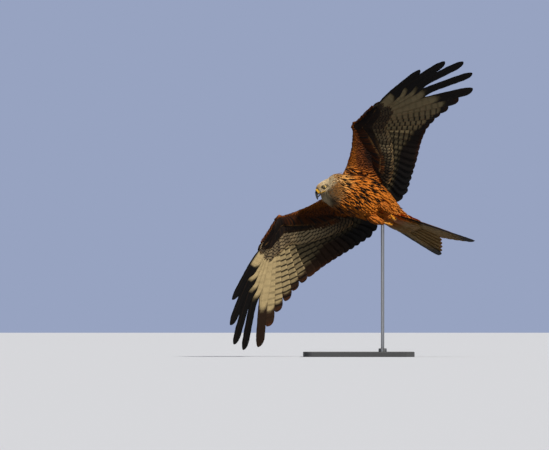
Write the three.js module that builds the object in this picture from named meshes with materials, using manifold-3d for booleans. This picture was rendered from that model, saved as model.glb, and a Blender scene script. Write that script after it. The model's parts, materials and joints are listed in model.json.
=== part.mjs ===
// Red kite gliding in a steep bank, life size, held by a plain display stand.
// Millimetres. Part frame: X to the right, Y away from the viewer, Z up, origin under the middle of the base.
// Bird frame: x forward, y to the bird's left, z towards its back, origin in the middle of the trunk.
import * as THREE from "three";
import { mergeVertices } from "three/addons/utils/BufferGeometryUtils.js";
import Module from "manifold-3d";

const wasm = await Module();
wasm.setup();

// Clearance that neighbouring pieces keep, and the size of a block that stands for half of space
const GAP = 0.3;
const HALF_SPACE = 900;

// Stand
const BASE = { length: 400, depth: 280, height: 18, corner: 36, bevel: 1.5 };
const ROD = { radius: 6, x: 74, y: 38, sides: 20 };
const SOCKET = { radius: 15, height: 12, lip: 1.5, sides: 20 };

// Attitude of the bird: where its bill side and its left side point, in the part frame
const BIRD_AT = new THREE.Vector3(13, 9, 566);
const FORWARD = new THREE.Vector3(-0.7631, -0.44, 0.4734);
const LEFTWARD = new THREE.Vector3(0.596, -0.1955, 0.7788);

// Trunk from the tail coverts to the upper neck, each ring as
// centre x, y, z, half width, rise of the back, drop of the belly, roll in degrees
const TRUNK = [
  [-202, 14, 10, 36, 2.5, 2.5, -44],
  [-177, 14, 10, 41, 8, 9, -40],
  [-150, 13, 9, 43, 18, 20, -30],
  [-122, 12, 6, 48, 28, 32, -12],
  [-92, 12, 3, 58, 36, 41, 0],
  [-56, 12, 1, 70, 42, 49, 0],
  [-18, 9, 0, 76, 46, 55, 0],
  [22, 1, 0, 79, 46, 58, 0],
  [60, -9.5, -2, 77, 44, 56, 0],
  [90, -16, -5, 71, 41, 51, 0],
  [112, -19, -8, 65, 38, 46, 0],
  [128, -21, -10, 61, 34, 41, 0],
  [141, -22, -11, 57, 29, 35, 0],
  [151, -23, -11, 49, 24, 29, 0],
  [158, -24, -11, 35, 17, 21, 0],
];
const TRUNK_CUTS = { tail: -128, neck: 98, head: 131 };
const TRUNK_DETAIL = { rings: 28, around: 20 };
const TAIL_CONE_DETAIL = { rings: 14, around: 14 };

// Head, from the nape to the bill, in its own frame with the origin between the eyes:
// x, z of the centre, half width, rise, drop
const HEAD_AT = new THREE.Vector3(156.3, -32.6, -10);
const HEAD_FORWARD = new THREE.Vector3(0.47, -0.878, -0.095);
const HEAD_LEFT = new THREE.Vector3(0.427, 0.32, -0.846);
const HEAD = [
  [-78, -2, 10, 14, 12],
  [-64, -1.5, 17.5, 18, 19],
  [-50, -1, 22, 19, 23],
  [-38, -1.5, 24.5, 21.8, 24.5],
  [-24, -2, 25.2, 23.4, 25.5],
  [-10, -2, 24, 25, 25.5],
  [4, -2, 20.2, 24.2, 25],
  [14, -1, 16.8, 22.4, 22],
  [20, -0.5, 14.2, 20.6, 19.5],
  [24, -0.5, 12.2, 17.5, 17],
];
const HEAD_DETAIL = { rings: 13, around: 20 };
// Short feathers of the forehead, a lobe over the root of the bill
const FOREHEAD = { at: [20, 9], reach: [12.5, 7.6, 9.5], slope: 25 };
const EYE = { at: [1, 15.8, -1.5], radius: 7 };
// Eyelids as a rim round the eye, and the brow as a long swelling over it
const LIDS = { inset: 1.8, thick: 1.2, scale: [1.12, 0.95], forward: 0.8, outward: 4.9, facing: [0.18, 0.02] };
const BROW = { radius: 2.6, scale: [4.2, 1.25], slope: 12, forward: 1, outward: 2.4 };
const CERE = [
  [24.3, -4, 9.6, 14.3, 8.2],
  [28, -4.4, 9.2, 14.2, 8],
  [32.5, -5, 8.3, 13.8, 7.6],
];
const UPPER_BILL = [
  [32.8, -9, 7.4, 17.4, 3.6],
  [35.4, -9.2, 6.9, 11.4, 3.4],
  [38.2, -11.2, 5.9, 6.3, 3.2],
  [40.2, -15, 4.6, 5.2, 2.8],
  [41.3, -19.4, 3.3, 5, 2.4],
  [42.5, -24, 2, 3.6, 1.7],
  [44.4, -28.2, 0.6, 0.8, 0.7],
];
const LOWER_BILL = [
  [24.3, -15.2, 7.2, 2.2, 3.2],
  [30, -15.6, 6.4, 2.2, 3.2],
  [35.5, -17.2, 5, 2, 3],
  [39.2, -19.8, 2.8, 1.2, 1.8],
];
const CERE_DETAIL = { rings: 3, around: 14 };
const UPPER_BILL_DETAIL = { rings: 10, around: 10 };
const LOWER_BILL_DETAIL = { rings: 4, around: 10 };
const NOSTRIL = { at: [27.9, 9, -2], long: 2, high: 1.2, depth: 5 };
const GAPE = { from: [26, -13.2], to: [4, -14.5], width: 0.9, depth: 2.6, outward: 14.2, turn: 0.5 };

// Wings
const SHOULDER = { x: 55, y: 38, z: 22 };
const UPPER_ARM = 125;
const FOREARM = 145;
const HAND_LENGTH = 112;
// Fleshy cores: their edges before and behind the bones and their thickness, from the wrist to the other end, how far
// they run on past the wrist, and the share of the thickness in the middle and what the leading edge adds to it
const ARM_CORE = { back: [22, 18], thick: [15, 34], beyond: 22, waist: [0.66, 0.34], rings: 10, around: 12 };
const HAND_CORE = { front: [-3, -15], back: [24, 10], thick: [15, 9], waist: [0.7, 0.3], rings: 6, around: 12 };
// How fast the skin before the arm widens towards the neck
const WEB_POWER = 2.5;
const END_SHARE = 0.1;
// Roots of the primaries along the hand, and of the secondaries from the wrist to past the elbow
const PRIMARY_ROOTS = { first: 6, margin: 12, back: 6 };
const SECONDARY_ROOTS = { first: 8, pastElbow: 46, bone: 0.94, behind: 4 };
// Hind edge of the arm: distance from the bones at the wrist, its slope, how much shorter the last feather is, and
// the share of the row over which a trim near the wrist runs out
const EDGE = { reach: 290, slope: 0.36, lastFrom: 0.95, shorter: 12, trimTo: 0.5 };
// For each wing: its arm, with its fore edge at the wrist and the web of skin that it gains towards the neck, its
// hand, and from the outermost primary inwards the reach of each tip from the wrist, its angle from the hand, its
// height over the hand's plane, and then the row of secondaries with the same height for each
const WINGS = {
  left: {
    side: 1,
    arm: { sweep: -39.6, rise: 5, length: 215.9, front: -3, web: 70 },
    hand: { sweep: 3.1, rise: -20.4, twist: 0.1 },
    reach: [348, 437, 487, 486, 458, 396, 351, 319, 296, 279],
    fan: [0.2, 5.4, 10.8, 18.3, 26.7, 30.4, 35.3, 39.6, 44.6, 50],
    lift: [0, 0, 0, 2, 6, 10, 14, 18, 20, 21],
    edge: { first: 45, last: 305, trim: 9, lift: [-20, -11, -4, 0, 0, 0, 0, 0, 0, 0, 0, 0] },
  },
  right: {
    side: -1,
    arm: { sweep: -38.5, rise: 5.2, length: 245.5, front: 0, web: 52 },
    hand: { sweep: -1.1, rise: -21.7, twist: 8.7 },
    reach: [343, 426, 485, 495, 477, 402, 352, 320, 293, 280],
    fan: [0, 6.3, 12, 17.6, 25.3, 29.7, 35.7, 43.4, 50.9, 59.3],
    lift: [0, 0, 0, 2, 6, 10, 13, 14, 12, 6],
    edge: { first: 62, last: 336, trim: 0, lift: [2, 7, 10, 10, 8, 5, 2, 0, 0, 0, 0, 0] },
  },
};
const SECONDARIES = 12;

// Vanes: width before and behind the shaft, thickness, length of the rounded tip, arch upwards and bow forwards as
// shares of the length, steps along it, and where a fingered tip narrows
const TILT = 7;
const PRIMARY = { lead: 12, trail: 31, thick: 1, round: 44, arch: -0.012, bow: 0.028, steps: 6 };
const FINGERED = { ...PRIMARY, fingers: [0.46, 0.62] };
const OUTERMOST = { ...FINGERED, lead: 9, bow: 0.034 };
const SECONDARY = { lead: 14, trail: 31, thick: 1, round: 20, arch: 0.02, bow: 0.03, steps: 4 };
const COVERT = { lead: 14, trail: 28, thick: 1, round: 26, arch: 0, bow: 0.02, steps: 2 };
const RECTRIX = { tilt: 0, lead: 15, trail: 27, thick: 1, round: 30, arch: 0, bow: 0.02, steps: 4 };
const OUTER_RECTRIX = { ...RECTRIX, lead: 7, bow: 0.008 };
const TAIL_COVERT = { tilt: 0, lead: 15, trail: 20, thick: 1, round: 36, arch: 0, bow: 0, steps: 2 };
const SIDE_FROM = 0.35;
// Share of the width at a vane's root and at its tip, where it is full, and what the thickness loses towards the tip
const BLADE = { root: 0.4, fullFrom: 0.28, tip: 0.05, thinning: 0.4 };
const FINGERS = 5;
const FINGER_NARROWING = { lead: 0.8, trail: 0.46 };
// Greater coverts: share of the flight feather that they reach, one for so many feathers, and height over and under
const COVERTS = {
  hand: { reach: 0.4, every: 3 },
  arm: { reach: 0.46, every: 2 },
  above: 5.8,
  below: 6.6,
  inward: 16,
  rootHeight: 3,
};

// Heights of the outermost and the innermost primary's root in the hand, where the quills lie over one another
const QUILL_STACK = { low: -3, high: 3.8, curve: 1.9 };

// Tail
const TAIL_ROOT = new THREE.Vector3(-121.6, 0, 8);
const TAIL_BACK = new THREE.Vector3(-0.99, 0.11, 0.078);
const TAIL_LEFT = new THREE.Vector3(-0.01, 0.68, -0.74);
const TAIL = { outer: 328, inner: 243, fan: 13.1, pairs: 6, step: 1.4, rootSpread: 34 };
const TAIL_COVERTS = { pairs: 2, length: 128, shorter: 8, fan: 0.8 };

// Legs, tucked back under the tail coverts
const THIGH = [
  [-42, 31, -34, 15],
  [-62, 28, -40, 20],
  [-84, 24.5, -42, 16.5],
  [-102, 21, -42, 9.5],
];
const SHANK = [
  [-95, 21, -43, 4.6],
  [-108, 17, -48, 4.3],
  [-119, 13, -50, 5],
];
const PALM = { at: [-121, 12.5, -50], radius: 7, scale: [1.1, 0.95, 0.8] };
// Toes of a closed foot: which way each points, and which way it curls, forwards, outwards and up
const TOES = [
  { name: "inner", heading: [-1, -0.4, 0], curl: [0, 0, 1], length: 14, radius: 3 },
  { name: "middle", heading: [-1, -0.1, 0], curl: [0, 0, 1], length: 19, radius: 3 },
  { name: "outer", heading: [-1, 0.2, 0], curl: [0, 0, 1], length: 15, radius: 2.8 },
  { name: "hind", heading: [0, 0.65, 0.85], curl: [-1, 0, 0.1], length: 9, radius: 3 },
];
const TOE_CURL = { steps: 4, start: 0.05, turn: 0.4, taper: 0.07 };
const CLAW = { length: 11, radius: 1.9, tip: 0.3, bend: 50, steps: 3 };

// Colours and finishes
function finish(color, roughness, metalness = 0) {
  return new THREE.MeshStandardMaterial({ color, roughness, metalness });
}
const RUFOUS = finish(0x9a4a1a, 0.85);
const PALE_HEAD = finish(0xb9b2a2, 0.85);
const DARK_FEATHER = finish(0x2b2320, 0.8);
const WING_BROWN = finish(0x5a3722, 0.85);
const TAIL_RUFOUS = finish(0x9c7a52, 0.85);
const YELLOW_SKIN = finish(0xe0a91c, 0.5);
const HORN = finish(0x1c1a19, 0.35);
const IRIS = finish(0xc9b46a, 0.15);
const STAND_PAINT = finish(0x3a3a3c, 0.6);
const STAND_STEEL = finish(0xb4b6b8, 0.3, 1);

// Solid of a closed geometry, facing outwards
function asSolid(geometry) {
  const bare = new THREE.BufferGeometry();
  const loose = geometry.index ? geometry.toNonIndexed() : geometry;
  bare.setAttribute("position", loose.getAttribute("position"));
  const merged = mergeVertices(bare, 1e-4);
  const vertProperties = new Float32Array(merged.attributes.position.array);
  const triVerts = new Uint32Array(merged.index.array);
  const made = new wasm.Manifold(new wasm.Mesh({ numProp: 3, vertProperties, triVerts }));
  if (made.volume() > 0) return made;
  for (let i = 0; i < triVerts.length; i += 3) {
    [triVerts[i + 1], triVerts[i + 2]] = [triVerts[i + 2], triVerts[i + 1]];
  }
  return new wasm.Manifold(new wasm.Mesh({ numProp: 3, vertProperties, triVerts }));
}

// Largest closed surface of a solid, as a geometry
function asGeometry(solid) {
  const bodies = solid.decompose();
  const largest = bodies.reduce((a, b) => (b.volume() > a.volume() ? b : a));
  const mesh = largest.getMesh();
  const position = new Float32Array(mesh.numVert * 3);
  for (let i = 0; i < mesh.numVert; i++) {
    position.set(mesh.vertProperties.subarray(i * mesh.numProp, i * mesh.numProp + 3), i * 3);
  }
  const geometry = new THREE.BufferGeometry();
  geometry.setAttribute("position", new THREE.BufferAttribute(position, 3));
  geometry.setIndex(new THREE.BufferAttribute(mesh.triVerts, 1));
  geometry.computeVertexNormals();
  return geometry;
}

function union(solids) {
  return solids.reduce((whole, piece) => whole.add(piece));
}

// Geometry whose every point is moved to place(point)
function mapped(geometry, place) {
  const at = geometry.getAttribute("position");
  const point = new THREE.Vector3();
  for (let i = 0; i < at.count; i++) {
    const moved = place(point.fromBufferAttribute(at, i));
    at.setXYZ(i, moved.x, moved.y, moved.z);
  }
  return geometry;
}

function vector(list) {
  return new THREE.Vector3(list[0], list[1], list[2]);
}

function smooth(from, to, value) {
  return THREE.MathUtils.smoothstep(value, from, to);
}

const lerp = THREE.MathUtils.lerp;

// Point at origin + the sum of each axis times its amount
function along(origin, ...steps) {
  const point = origin.clone();
  steps.forEach(([axis, amount]) => point.addScaledVector(axis, amount));
  return point;
}

// Closed form through rings: section(t) gives a ring's centre, its two axes and its reach each way
function loft(rings, around, section) {
  const tube = new THREE.CylinderGeometry(1, 1, 1, around, rings);
  const made = new Map();
  return mapped(tube, (point) => {
    const t = Math.round((0.5 - point.y) * rings) / rings;
    if (!made.has(t)) made.set(t, section(t));
    const ring = made.get(t);
    const wide = point.x * ring.wide;
    const tall = point.z * (point.z > 0 ? ring.above : ring.below);
    return along(ring.centre, [ring.side, wide], [ring.up, tall * (ring.waist ? ring.waist(point.x) : 1)]);
  });
}

// Sections that follow a list of stations along a smooth spine, grown outwards by an amount
function stations(list, grow, sideAt) {
  const spine = new THREE.CatmullRomCurve3(list.map((row) => row.centre), false, "centripetal");
  const size = new THREE.CatmullRomCurve3(list.map((row) => vector(row.size)));
  return (t) => {
    const tangent = spine.getTangent(t);
    const [wide, above, below] = size.getPoint(t).toArray();
    const side = sideAt(t);
    side.addScaledVector(tangent, -side.dot(tangent)).normalize();
    const up = new THREE.Vector3().crossVectors(tangent, side).normalize();
    return { centre: spine.getPoint(t), side, up, wide: wide + grow, above: above + grow, below: below + grow };
  };
}

// Half of space beyond a point, as a block that starts there
function beyond(point, normal, start) {
  const block = new THREE.BoxGeometry(HALF_SPACE, HALF_SPACE, HALF_SPACE);
  block.translate(0, 0, HALF_SPACE / 2 + start);
  const turn = new THREE.Quaternion().setFromUnitVectors(new THREE.Vector3(0, 0, 1), normal);
  return asSolid(block.applyQuaternion(turn).translate(point.x, point.y, point.z));
}

// Trunk, neck and tail coverts in one form
function trunkForm(grow, { rings, around } = TRUNK_DETAIL) {
  const rows = TRUNK.map(([x, y, z, wide, above, below, roll]) => ({
    centre: new THREE.Vector3(x, y, z),
    size: [wide, above, below],
    roll: THREE.MathUtils.degToRad(roll),
  }));
  const rollAt = (t) => {
    const place = t * (rows.length - 1);
    const index = Math.min(Math.floor(place), rows.length - 2);
    return lerp(rows[index].roll, rows[index + 1].roll, place - index);
  };
  const sideAt = (t) => new THREE.Vector3(0, Math.cos(rollAt(t)), Math.sin(rollAt(t)));
  return asSolid(loft(rings, around, stations(rows, grow, sideAt)));
}

// Head pieces are made in the head's own frame, then turned into place
const headFrame = new THREE.Matrix4();
{
  const forward = HEAD_FORWARD.clone().normalize();
  const left = HEAD_LEFT.clone().addScaledVector(forward, -HEAD_LEFT.dot(forward)).normalize();
  headFrame.makeBasis(forward, left, new THREE.Vector3().crossVectors(forward, left));
  headFrame.setPosition(HEAD_AT);
}

function headLoft(table, { rings, around }, grow = 0) {
  const rows = table.map(([x, z, wide, above, below]) => ({
    centre: new THREE.Vector3(x, 0, z),
    size: [wide, above, below],
  }));
  return loft(rings, around, stations(rows, grow, () => new THREE.Vector3(0, 1, 0)));
}

function inHead(geometry) {
  return asSolid(geometry.applyMatrix4(headFrame));
}

function eyeball(side, grow) {
  const ball = new THREE.SphereGeometry(EYE.radius + grow, 14, 7);
  return inHead(ball.translate(EYE.at[0], side * EYE.at[1], EYE.at[2]));
}

function forehead() {
  const lobe = new THREE.SphereGeometry(1, 12, 6).scale(...FOREHEAD.reach);
  lobe.rotateY(THREE.MathUtils.degToRad(FOREHEAD.slope));
  return inHead(lobe.translate(FOREHEAD.at[0], 0, FOREHEAD.at[1]));
}

// Raised rim of the eyelids round an eye, with the brow over it
function lids(side) {
  const outward = new THREE.Vector3(LIDS.facing[0], side, LIDS.facing[1]).normalize();
  const turn = new THREE.Quaternion().setFromUnitVectors(new THREE.Vector3(0, 0, 1), outward);
  const rim = new THREE.TorusGeometry(EYE.radius - LIDS.inset, LIDS.thick, 4, 12);
  rim.scale(LIDS.scale[0], LIDS.scale[1], 1).applyQuaternion(turn);
  rim.translate(EYE.at[0] + LIDS.forward, side * (EYE.at[1] + LIDS.outward), EYE.at[2]);
  const brow = new THREE.SphereGeometry(BROW.radius, 8, 4).scale(BROW.scale[0], BROW.scale[1], 1);
  brow.rotateY(THREE.MathUtils.degToRad(BROW.slope));
  brow.translate(EYE.at[0] + BROW.forward, side * (EYE.at[1] + BROW.outward), EYE.at[2] + EYE.radius);
  return [inHead(rim), inHead(brow)];
}

// Groove of the mouth, from the bill back under the eye
function gapeGroove(side) {
  const [x0, z0] = GAPE.from;
  const [x1, z1] = GAPE.to;
  const groove = new THREE.BoxGeometry(Math.hypot(x1 - x0, z1 - z0), GAPE.depth * 2, GAPE.width);
  groove.rotateY(Math.atan2(z1 - z0, x0 - x1));
  groove.rotateZ(-side * GAPE.turn);
  return inHead(groove.translate((x0 + x1) / 2, side * GAPE.outward, (z0 + z1) / 2));
}

function nostril(side) {
  const hole = new THREE.CylinderGeometry(1, 1, NOSTRIL.depth, 10);
  hole.scale(NOSTRIL.long, 1, NOSTRIL.high);
  return inHead(hole.translate(NOSTRIL.at[0], side * NOSTRIL.at[1], NOSTRIL.at[2]));
}

// Axes of one wing: its wrist, its arm's plane and its hand's plane
function wingFrame({ side, arm, hand }) {
  const direction = (sweep, rise) => {
    const s = THREE.MathUtils.degToRad(sweep);
    const r = THREE.MathUtils.degToRad(rise);
    return new THREE.Vector3(-Math.sin(s) * Math.cos(r), side * Math.cos(s) * Math.cos(r), Math.sin(r));
  };
  const shoulder = new THREE.Vector3(SHOULDER.x, side * SHOULDER.y, SHOULDER.z);
  const wrist = along(shoulder, [direction(arm.sweep, arm.rise), arm.length]);
  const inward = shoulder.clone().sub(wrist).normalize();
  const upright = (axis, back) => {
    const normal = new THREE.Vector3().crossVectors(axis, back).normalize();
    return normal.z < 0 ? normal.negate() : normal;
  };
  const armBack = new THREE.Vector3(-1, 0, -0.07);
  armBack.addScaledVector(inward, -armBack.dot(inward)).normalize();
  const outward = direction(hand.sweep, hand.rise);
  const level = new THREE.Vector3(-1, 0, 0);
  level.addScaledVector(outward, -level.dot(outward)).normalize();
  const twist = THREE.MathUtils.degToRad(hand.twist);
  const handUp = upright(outward, level);
  const handBack = along(level.clone().multiplyScalar(Math.cos(twist)), [handUp, Math.sin(twist)]);
  const elbowIn = (FOREARM ** 2 - UPPER_ARM ** 2 + arm.length ** 2) / (2 * arm.length);
  const elbowBack = Math.sqrt(FOREARM ** 2 - elbowIn ** 2);
  return {
    side,
    wrist,
    inward,
    armBack,
    armUp: upright(inward, armBack),
    outward,
    handBack,
    handUp: upright(outward, handBack),
    elbowIn,
    elbowBack,
    arm,
  };
}

// Roots and tips of a wing's flight feathers, from the outermost primary to the innermost secondary
function flightFeathers(frame, pose) {
  const feathers = pose.reach.map((reach, i) => {
    const fan = THREE.MathUtils.degToRad(pose.fan[i]);
    const inner = i / (pose.reach.length - 1);
    const out = PRIMARY_ROOTS.first + (HAND_LENGTH - PRIMARY_ROOTS.margin) * (1 - inner);
    return {
      stack: lerp(QUILL_STACK.high, QUILL_STACK.low, (1 - inner) ** QUILL_STACK.curve),
      root: along(frame.wrist, [frame.outward, out], [frame.handBack, PRIMARY_ROOTS.back]),
      tip: along(
        frame.wrist,
        [frame.outward, reach * Math.cos(fan)],
        [frame.handBack, reach * Math.sin(fan)],
        [frame.handUp, pose.lift[i]],
      ),
    };
  });
  for (let k = 0; k < SECONDARIES; k++) {
    const share = k / (SECONDARIES - 1);
    const inward = lerp(pose.edge.first, pose.edge.last, share);
    const rootIn = lerp(SECONDARY_ROOTS.first, frame.elbowIn + SECONDARY_ROOTS.pastElbow, share);
    const bone = frame.elbowBack * Math.min(1, rootIn / frame.elbowIn);
    const rootBack = bone * SECONDARY_ROOTS.bone + SECONDARY_ROOTS.behind;
    const trim = pose.edge.trim * (1 - smooth(0, EDGE.trimTo, share));
    const shorter = trim + (share > EDGE.lastFrom ? EDGE.shorter : 0);
    feathers.push({
      stack: QUILL_STACK.high,
      root: along(frame.wrist, [frame.inward, rootIn], [frame.armBack, rootBack]),
      tip: along(
        frame.wrist,
        [frame.inward, inward],
        [frame.armBack, EDGE.reach - EDGE.slope * inward - shorter],
        [frame.armUp, pose.edge.lift[k]],
      ),
    });
  }
  return feathers;
}

// Share of its size that a rounded end keeps, from 0 where it starts to 1 at its end
function roundEnd(place) {
  return place <= 0 ? 1 : Math.sqrt(Math.max(END_SHARE, 1 - place ** 2));
}

// Fleshy core of the arm, from inside the trunk to past the wrist
function armCore(frame, grow = 0) {
  const { length, front: first, web } = frame.arm;
  return loft(ARM_CORE.rings, ARM_CORE.around, (t) => {
    const inward = lerp(length + ARM_CORE.beyond, -ARM_CORE.beyond, t);
    const share = THREE.MathUtils.clamp(inward / length, 0, 1);
    const end = roundEnd(-inward / ARM_CORE.beyond);
    const front = first - web * share ** WEB_POWER;
    const bone = frame.elbowBack * THREE.MathUtils.clamp(inward / frame.elbowIn, 0, 1);
    const back = bone + lerp(ARM_CORE.back[0], ARM_CORE.back[1], share);
    const thick = (lerp(ARM_CORE.thick[0], ARM_CORE.thick[1], share) / 2) * end;
    return {
      centre: along(frame.wrist, [frame.inward, inward], [frame.armBack, (front + back) / 2]),
      side: frame.armBack.clone().negate(),
      up: frame.armUp,
      wide: ((back - front) / 2) * end + grow,
      above: thick + grow,
      below: thick + grow,
      waist: (x) => ARM_CORE.waist[0] + ARM_CORE.waist[1] * x,
    };
  });
}

// Fleshy core of the hand, from behind the wrist to the root of the outermost primary
function handCore(frame, grow = 0) {
  return loft(HAND_CORE.rings, HAND_CORE.around, (t) => {
    const out = lerp(-ARM_CORE.beyond, HAND_LENGTH, t);
    const share = THREE.MathUtils.clamp(out / HAND_LENGTH, 0, 1);
    const front = lerp(HAND_CORE.front[0], HAND_CORE.front[1], share);
    const back = lerp(HAND_CORE.back[0], HAND_CORE.back[1], share);
    const end = roundEnd(-out / ARM_CORE.beyond);
    const thick = (lerp(HAND_CORE.thick[0], HAND_CORE.thick[1], share) / 2) * end;
    return {
      centre: along(frame.wrist, [frame.outward, out], [frame.handBack, (front + back) / 2]),
      side: frame.handBack.clone().negate(),
      up: frame.handUp,
      wide: ((back - front) / 2) * end + grow,
      above: thick + grow,
      below: thick + grow,
      waist: (x) => HAND_CORE.waist[0] + HAND_CORE.waist[1] * x,
    };
  });
}

// Adds to each feather of a row its length, its shaft's direction, its upper side, and the side that its row runs
// to, near its root and at its tip
function framed(feathers, above) {
  const towards = (share, i, shaft) => {
    const next = feathers[Math.min(i + 1, feathers.length - 1)];
    const last = feathers[Math.max(i - 1, 0)];
    const side = next.root.clone().lerp(next.tip, share).sub(last.root.clone().lerp(last.tip, share));
    return side.addScaledVector(shaft, -side.dot(shaft)).normalize();
  };
  return feathers.map((one, i) => {
    const shaft = one.tip.clone().sub(one.root).normalize();
    const rootSide = towards(SIDE_FROM, i, shaft);
    const tipSide = towards(1, i, shaft);
    const up = new THREE.Vector3().crossVectors(shaft, rootSide.clone().add(tipSide)).normalize();
    if (up.dot(above) < 0) up.negate();
    const root = along(one.root, [up, one.stack]);
    return shafted({ base: one.root, root, tip: one.tip, rootSide, tipSide, up });
  });
}

// Adds its length and its shaft's direction to a feather from its root and its tip
function shafted(feather) {
  const shaft = feather.tip.clone().sub(feather.root);
  return { ...feather, length: shaft.length(), shaft: shaft.normalize() };
}

// Point on a feather's bent shaft, at a share of its length
function onShaft(feather, shape, share) {
  const swell = 4 * share * (1 - share) * feather.length;
  return along(
    feather.root,
    [feather.shaft, share * feather.length],
    [feather.up, shape.arch * swell],
    [feather.tipSide, -shape.bow * swell],
  );
}

// Turns the diagonals of a box's lower face, so that both faces of a thin blade are split alike
function splitAlike(box) {
  const index = box.index.array;
  const lower = box.groups[5];
  for (let i = lower.start; i < lower.start + lower.count; i += 6) {
    const [a, b, d, , c] = index.subarray(i, i + 5);
    index.set([a, b, c, a, c, d], i);
  }
  return box;
}

// One vane: a thin blade with a rounded tip, its hind edge tilted under the next feather's fore edge
function vane(feather, shape, grow = 0) {
  const tilt = THREE.MathUtils.degToRad(shape.tilt ?? TILT);
  const roundFrom = 1 - shape.round / feather.length;
  const blank = splitAlike(new THREE.BoxGeometry(1, 1, 1, shape.steps, 1, 1));
  return asSolid(
    mapped(blank, (point) => {
      const share = Math.sin((point.x + 0.5) * (Math.PI / 2));
      const side = feather.rootSide.clone().lerp(feather.tipSide, smooth(SIDE_FROM, 1, share));
      side.addScaledVector(feather.shaft, -side.dot(feather.shaft)).normalize();
      const upper = new THREE.Vector3().crossVectors(feather.shaft, side);
      if (upper.dot(feather.up) < 0) upper.negate();
      const across = along(side.clone().multiplyScalar(Math.cos(tilt)), [upper, -Math.sin(tilt)]);
      const normal = along(upper.multiplyScalar(Math.cos(tilt)), [side, Math.sin(tilt)]);
      const edge = point.y * 2;
      const rounding = Math.max(0, (share - roundFrom) / (1 - roundFrom));
      const tipShare = Math.sqrt(Math.max(BLADE.tip, 1 - rounding ** 2));
      let width = lerp(BLADE.root, 1, smooth(0, BLADE.fullFrom, share)) * tipShare;
      if (shape.fingers) {
        const narrow = edge > 0 ? FINGER_NARROWING.trail : FINGER_NARROWING.lead;
        width *= lerp(1, narrow, smooth(shape.fingers[0], shape.fingers[1], share));
      }
      const wide = edge * (width * (edge < 0 ? shape.lead : shape.trail) + grow);
      const thick = shape.thick * (1 - BLADE.thinning * share) + 2 * grow;
      return along(onShaft(feather, shape, share), [across, wide], [normal, point.z * thick]);
    }),
  );
}

// Row of greater coverts over or under a row of flight feathers
function coverts(feathers, shapeOf, { reach, every }, face) {
  const height = face > 0 ? COVERTS.above : -COVERTS.below;
  const picked = feathers.filter((one, i) => i % every === 0);
  return picked.map((one, i) => {
    const root = along(one.base, [one.shaft, -COVERTS.inward], [one.up, face * COVERTS.rootHeight]);
    const tip = along(onShaft(one, shapeOf(i * every), reach), [one.up, height]);
    return shafted({ ...one, root, tip });
  });
}

// Tube along a smooth path with a radius at each of its points
function limb(points, around, grow = 0, side = 1, rings = (points.length - 1) * 2) {
  const rows = points.map(([x, y, z, radius]) => ({
    centre: new THREE.Vector3(x, side * y, z),
    size: [radius, radius, radius],
  }));
  return loft(rings, around, stations(rows, grow, () => new THREE.Vector3(0, 1, 0.2)));
}

// Path of a toe, from the palm along its curl
function toePath(toe, side) {
  const start = vector([PALM.at[0], side * PALM.at[1], PALM.at[2]]);
  const heading = new THREE.Vector3(toe.heading[0], side * toe.heading[1], toe.heading[2]).normalize();
  const curl = vector(toe.curl);
  curl.addScaledVector(heading, -curl.dot(heading)).normalize();
  const bend = (angle) => along(heading.clone().multiplyScalar(Math.cos(angle)), [curl, Math.sin(angle)]);
  const points = [start];
  const { steps } = TOE_CURL;
  const angleAt = (i) => TOE_CURL.start + TOE_CURL.turn * i;
  for (let i = 0; i < steps; i++) {
    const last = points[points.length - 1];
    points.push(along(last, [bend(angleAt(i)), (toe.length + PALM.radius) / steps]));
  }
  const angle = angleAt(steps - 1);
  return { points, end: bend(angle), angle, bend };
}

const bird = new THREE.Group();
{
  const forward = FORWARD.clone().normalize();
  const left = LEFTWARD.clone().addScaledVector(forward, -LEFTWARD.dot(forward)).normalize();
  const up = new THREE.Vector3().crossVectors(forward, left);
  bird.quaternion.setFromRotationMatrix(new THREE.Matrix4().makeBasis(forward, left, up));
  bird.position.copy(BIRD_AT);
  bird.updateMatrixWorld(true);
}
const stand = new THREE.Group();
const kite = new THREE.Group();
kite.add(bird, stand);

function addNode(group, name, solid, material) {
  const mesh = new THREE.Mesh(asGeometry(solid), material);
  mesh.name = name;
  group.add(mesh);
}

// Trunk, neck and head, parted by thin plane cuts
function ahead(x) {
  return beyond(new THREE.Vector3(x, 0, 0), new THREE.Vector3(1, 0, 0), GAP / 2);
}
function behind(x) {
  return beyond(new THREE.Vector3(x, 0, 0), new THREE.Vector3(-1, 0, 0), GAP / 2);
}
const whole = trunkForm(0);
const wholeGrown = trunkForm(GAP);
const skull = inHead(headLoft(HEAD, HEAD_DETAIL));
const skullGrown = inHead(headLoft(HEAD, HEAD_DETAIL, GAP));
const torso = whole.intersect(ahead(TRUNK_CUTS.tail)).intersect(behind(TRUNK_CUTS.neck));
const neckBlock = whole.intersect(ahead(TRUNK_CUTS.neck)).intersect(behind(TRUNK_CUTS.head));
addNode(bird, "torso", torso, RUFOUS);
addNode(bird, "neck", neckBlock.subtract(skullGrown), RUFOUS);
let head = skull.add(forehead()).add(whole.intersect(ahead(TRUNK_CUTS.head)));
for (const side of [1, -1]) {
  lids(side).forEach((piece) => {
    head = head.add(piece);
  });
}
for (const side of [1, -1]) {
  head = head.subtract(eyeball(side, GAP)).subtract(gapeGroove(side));
}
const cere = (grow) => inHead(headLoft(CERE, CERE_DETAIL, grow));
const upperBill = (grow) => inHead(headLoft(UPPER_BILL, UPPER_BILL_DETAIL, grow));
const lowerBill = (grow) => inHead(headLoft(LOWER_BILL, LOWER_BILL_DETAIL, grow));
addNode(bird, "head", head.subtract(cere(GAP)).subtract(lowerBill(GAP)), PALE_HEAD);
addNode(bird, "eye_left", eyeball(1, 0), IRIS);
addNode(bird, "eye_right", eyeball(-1, 0), IRIS);
const cereBody = cere(0).subtract(nostril(1)).subtract(nostril(-1));
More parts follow.
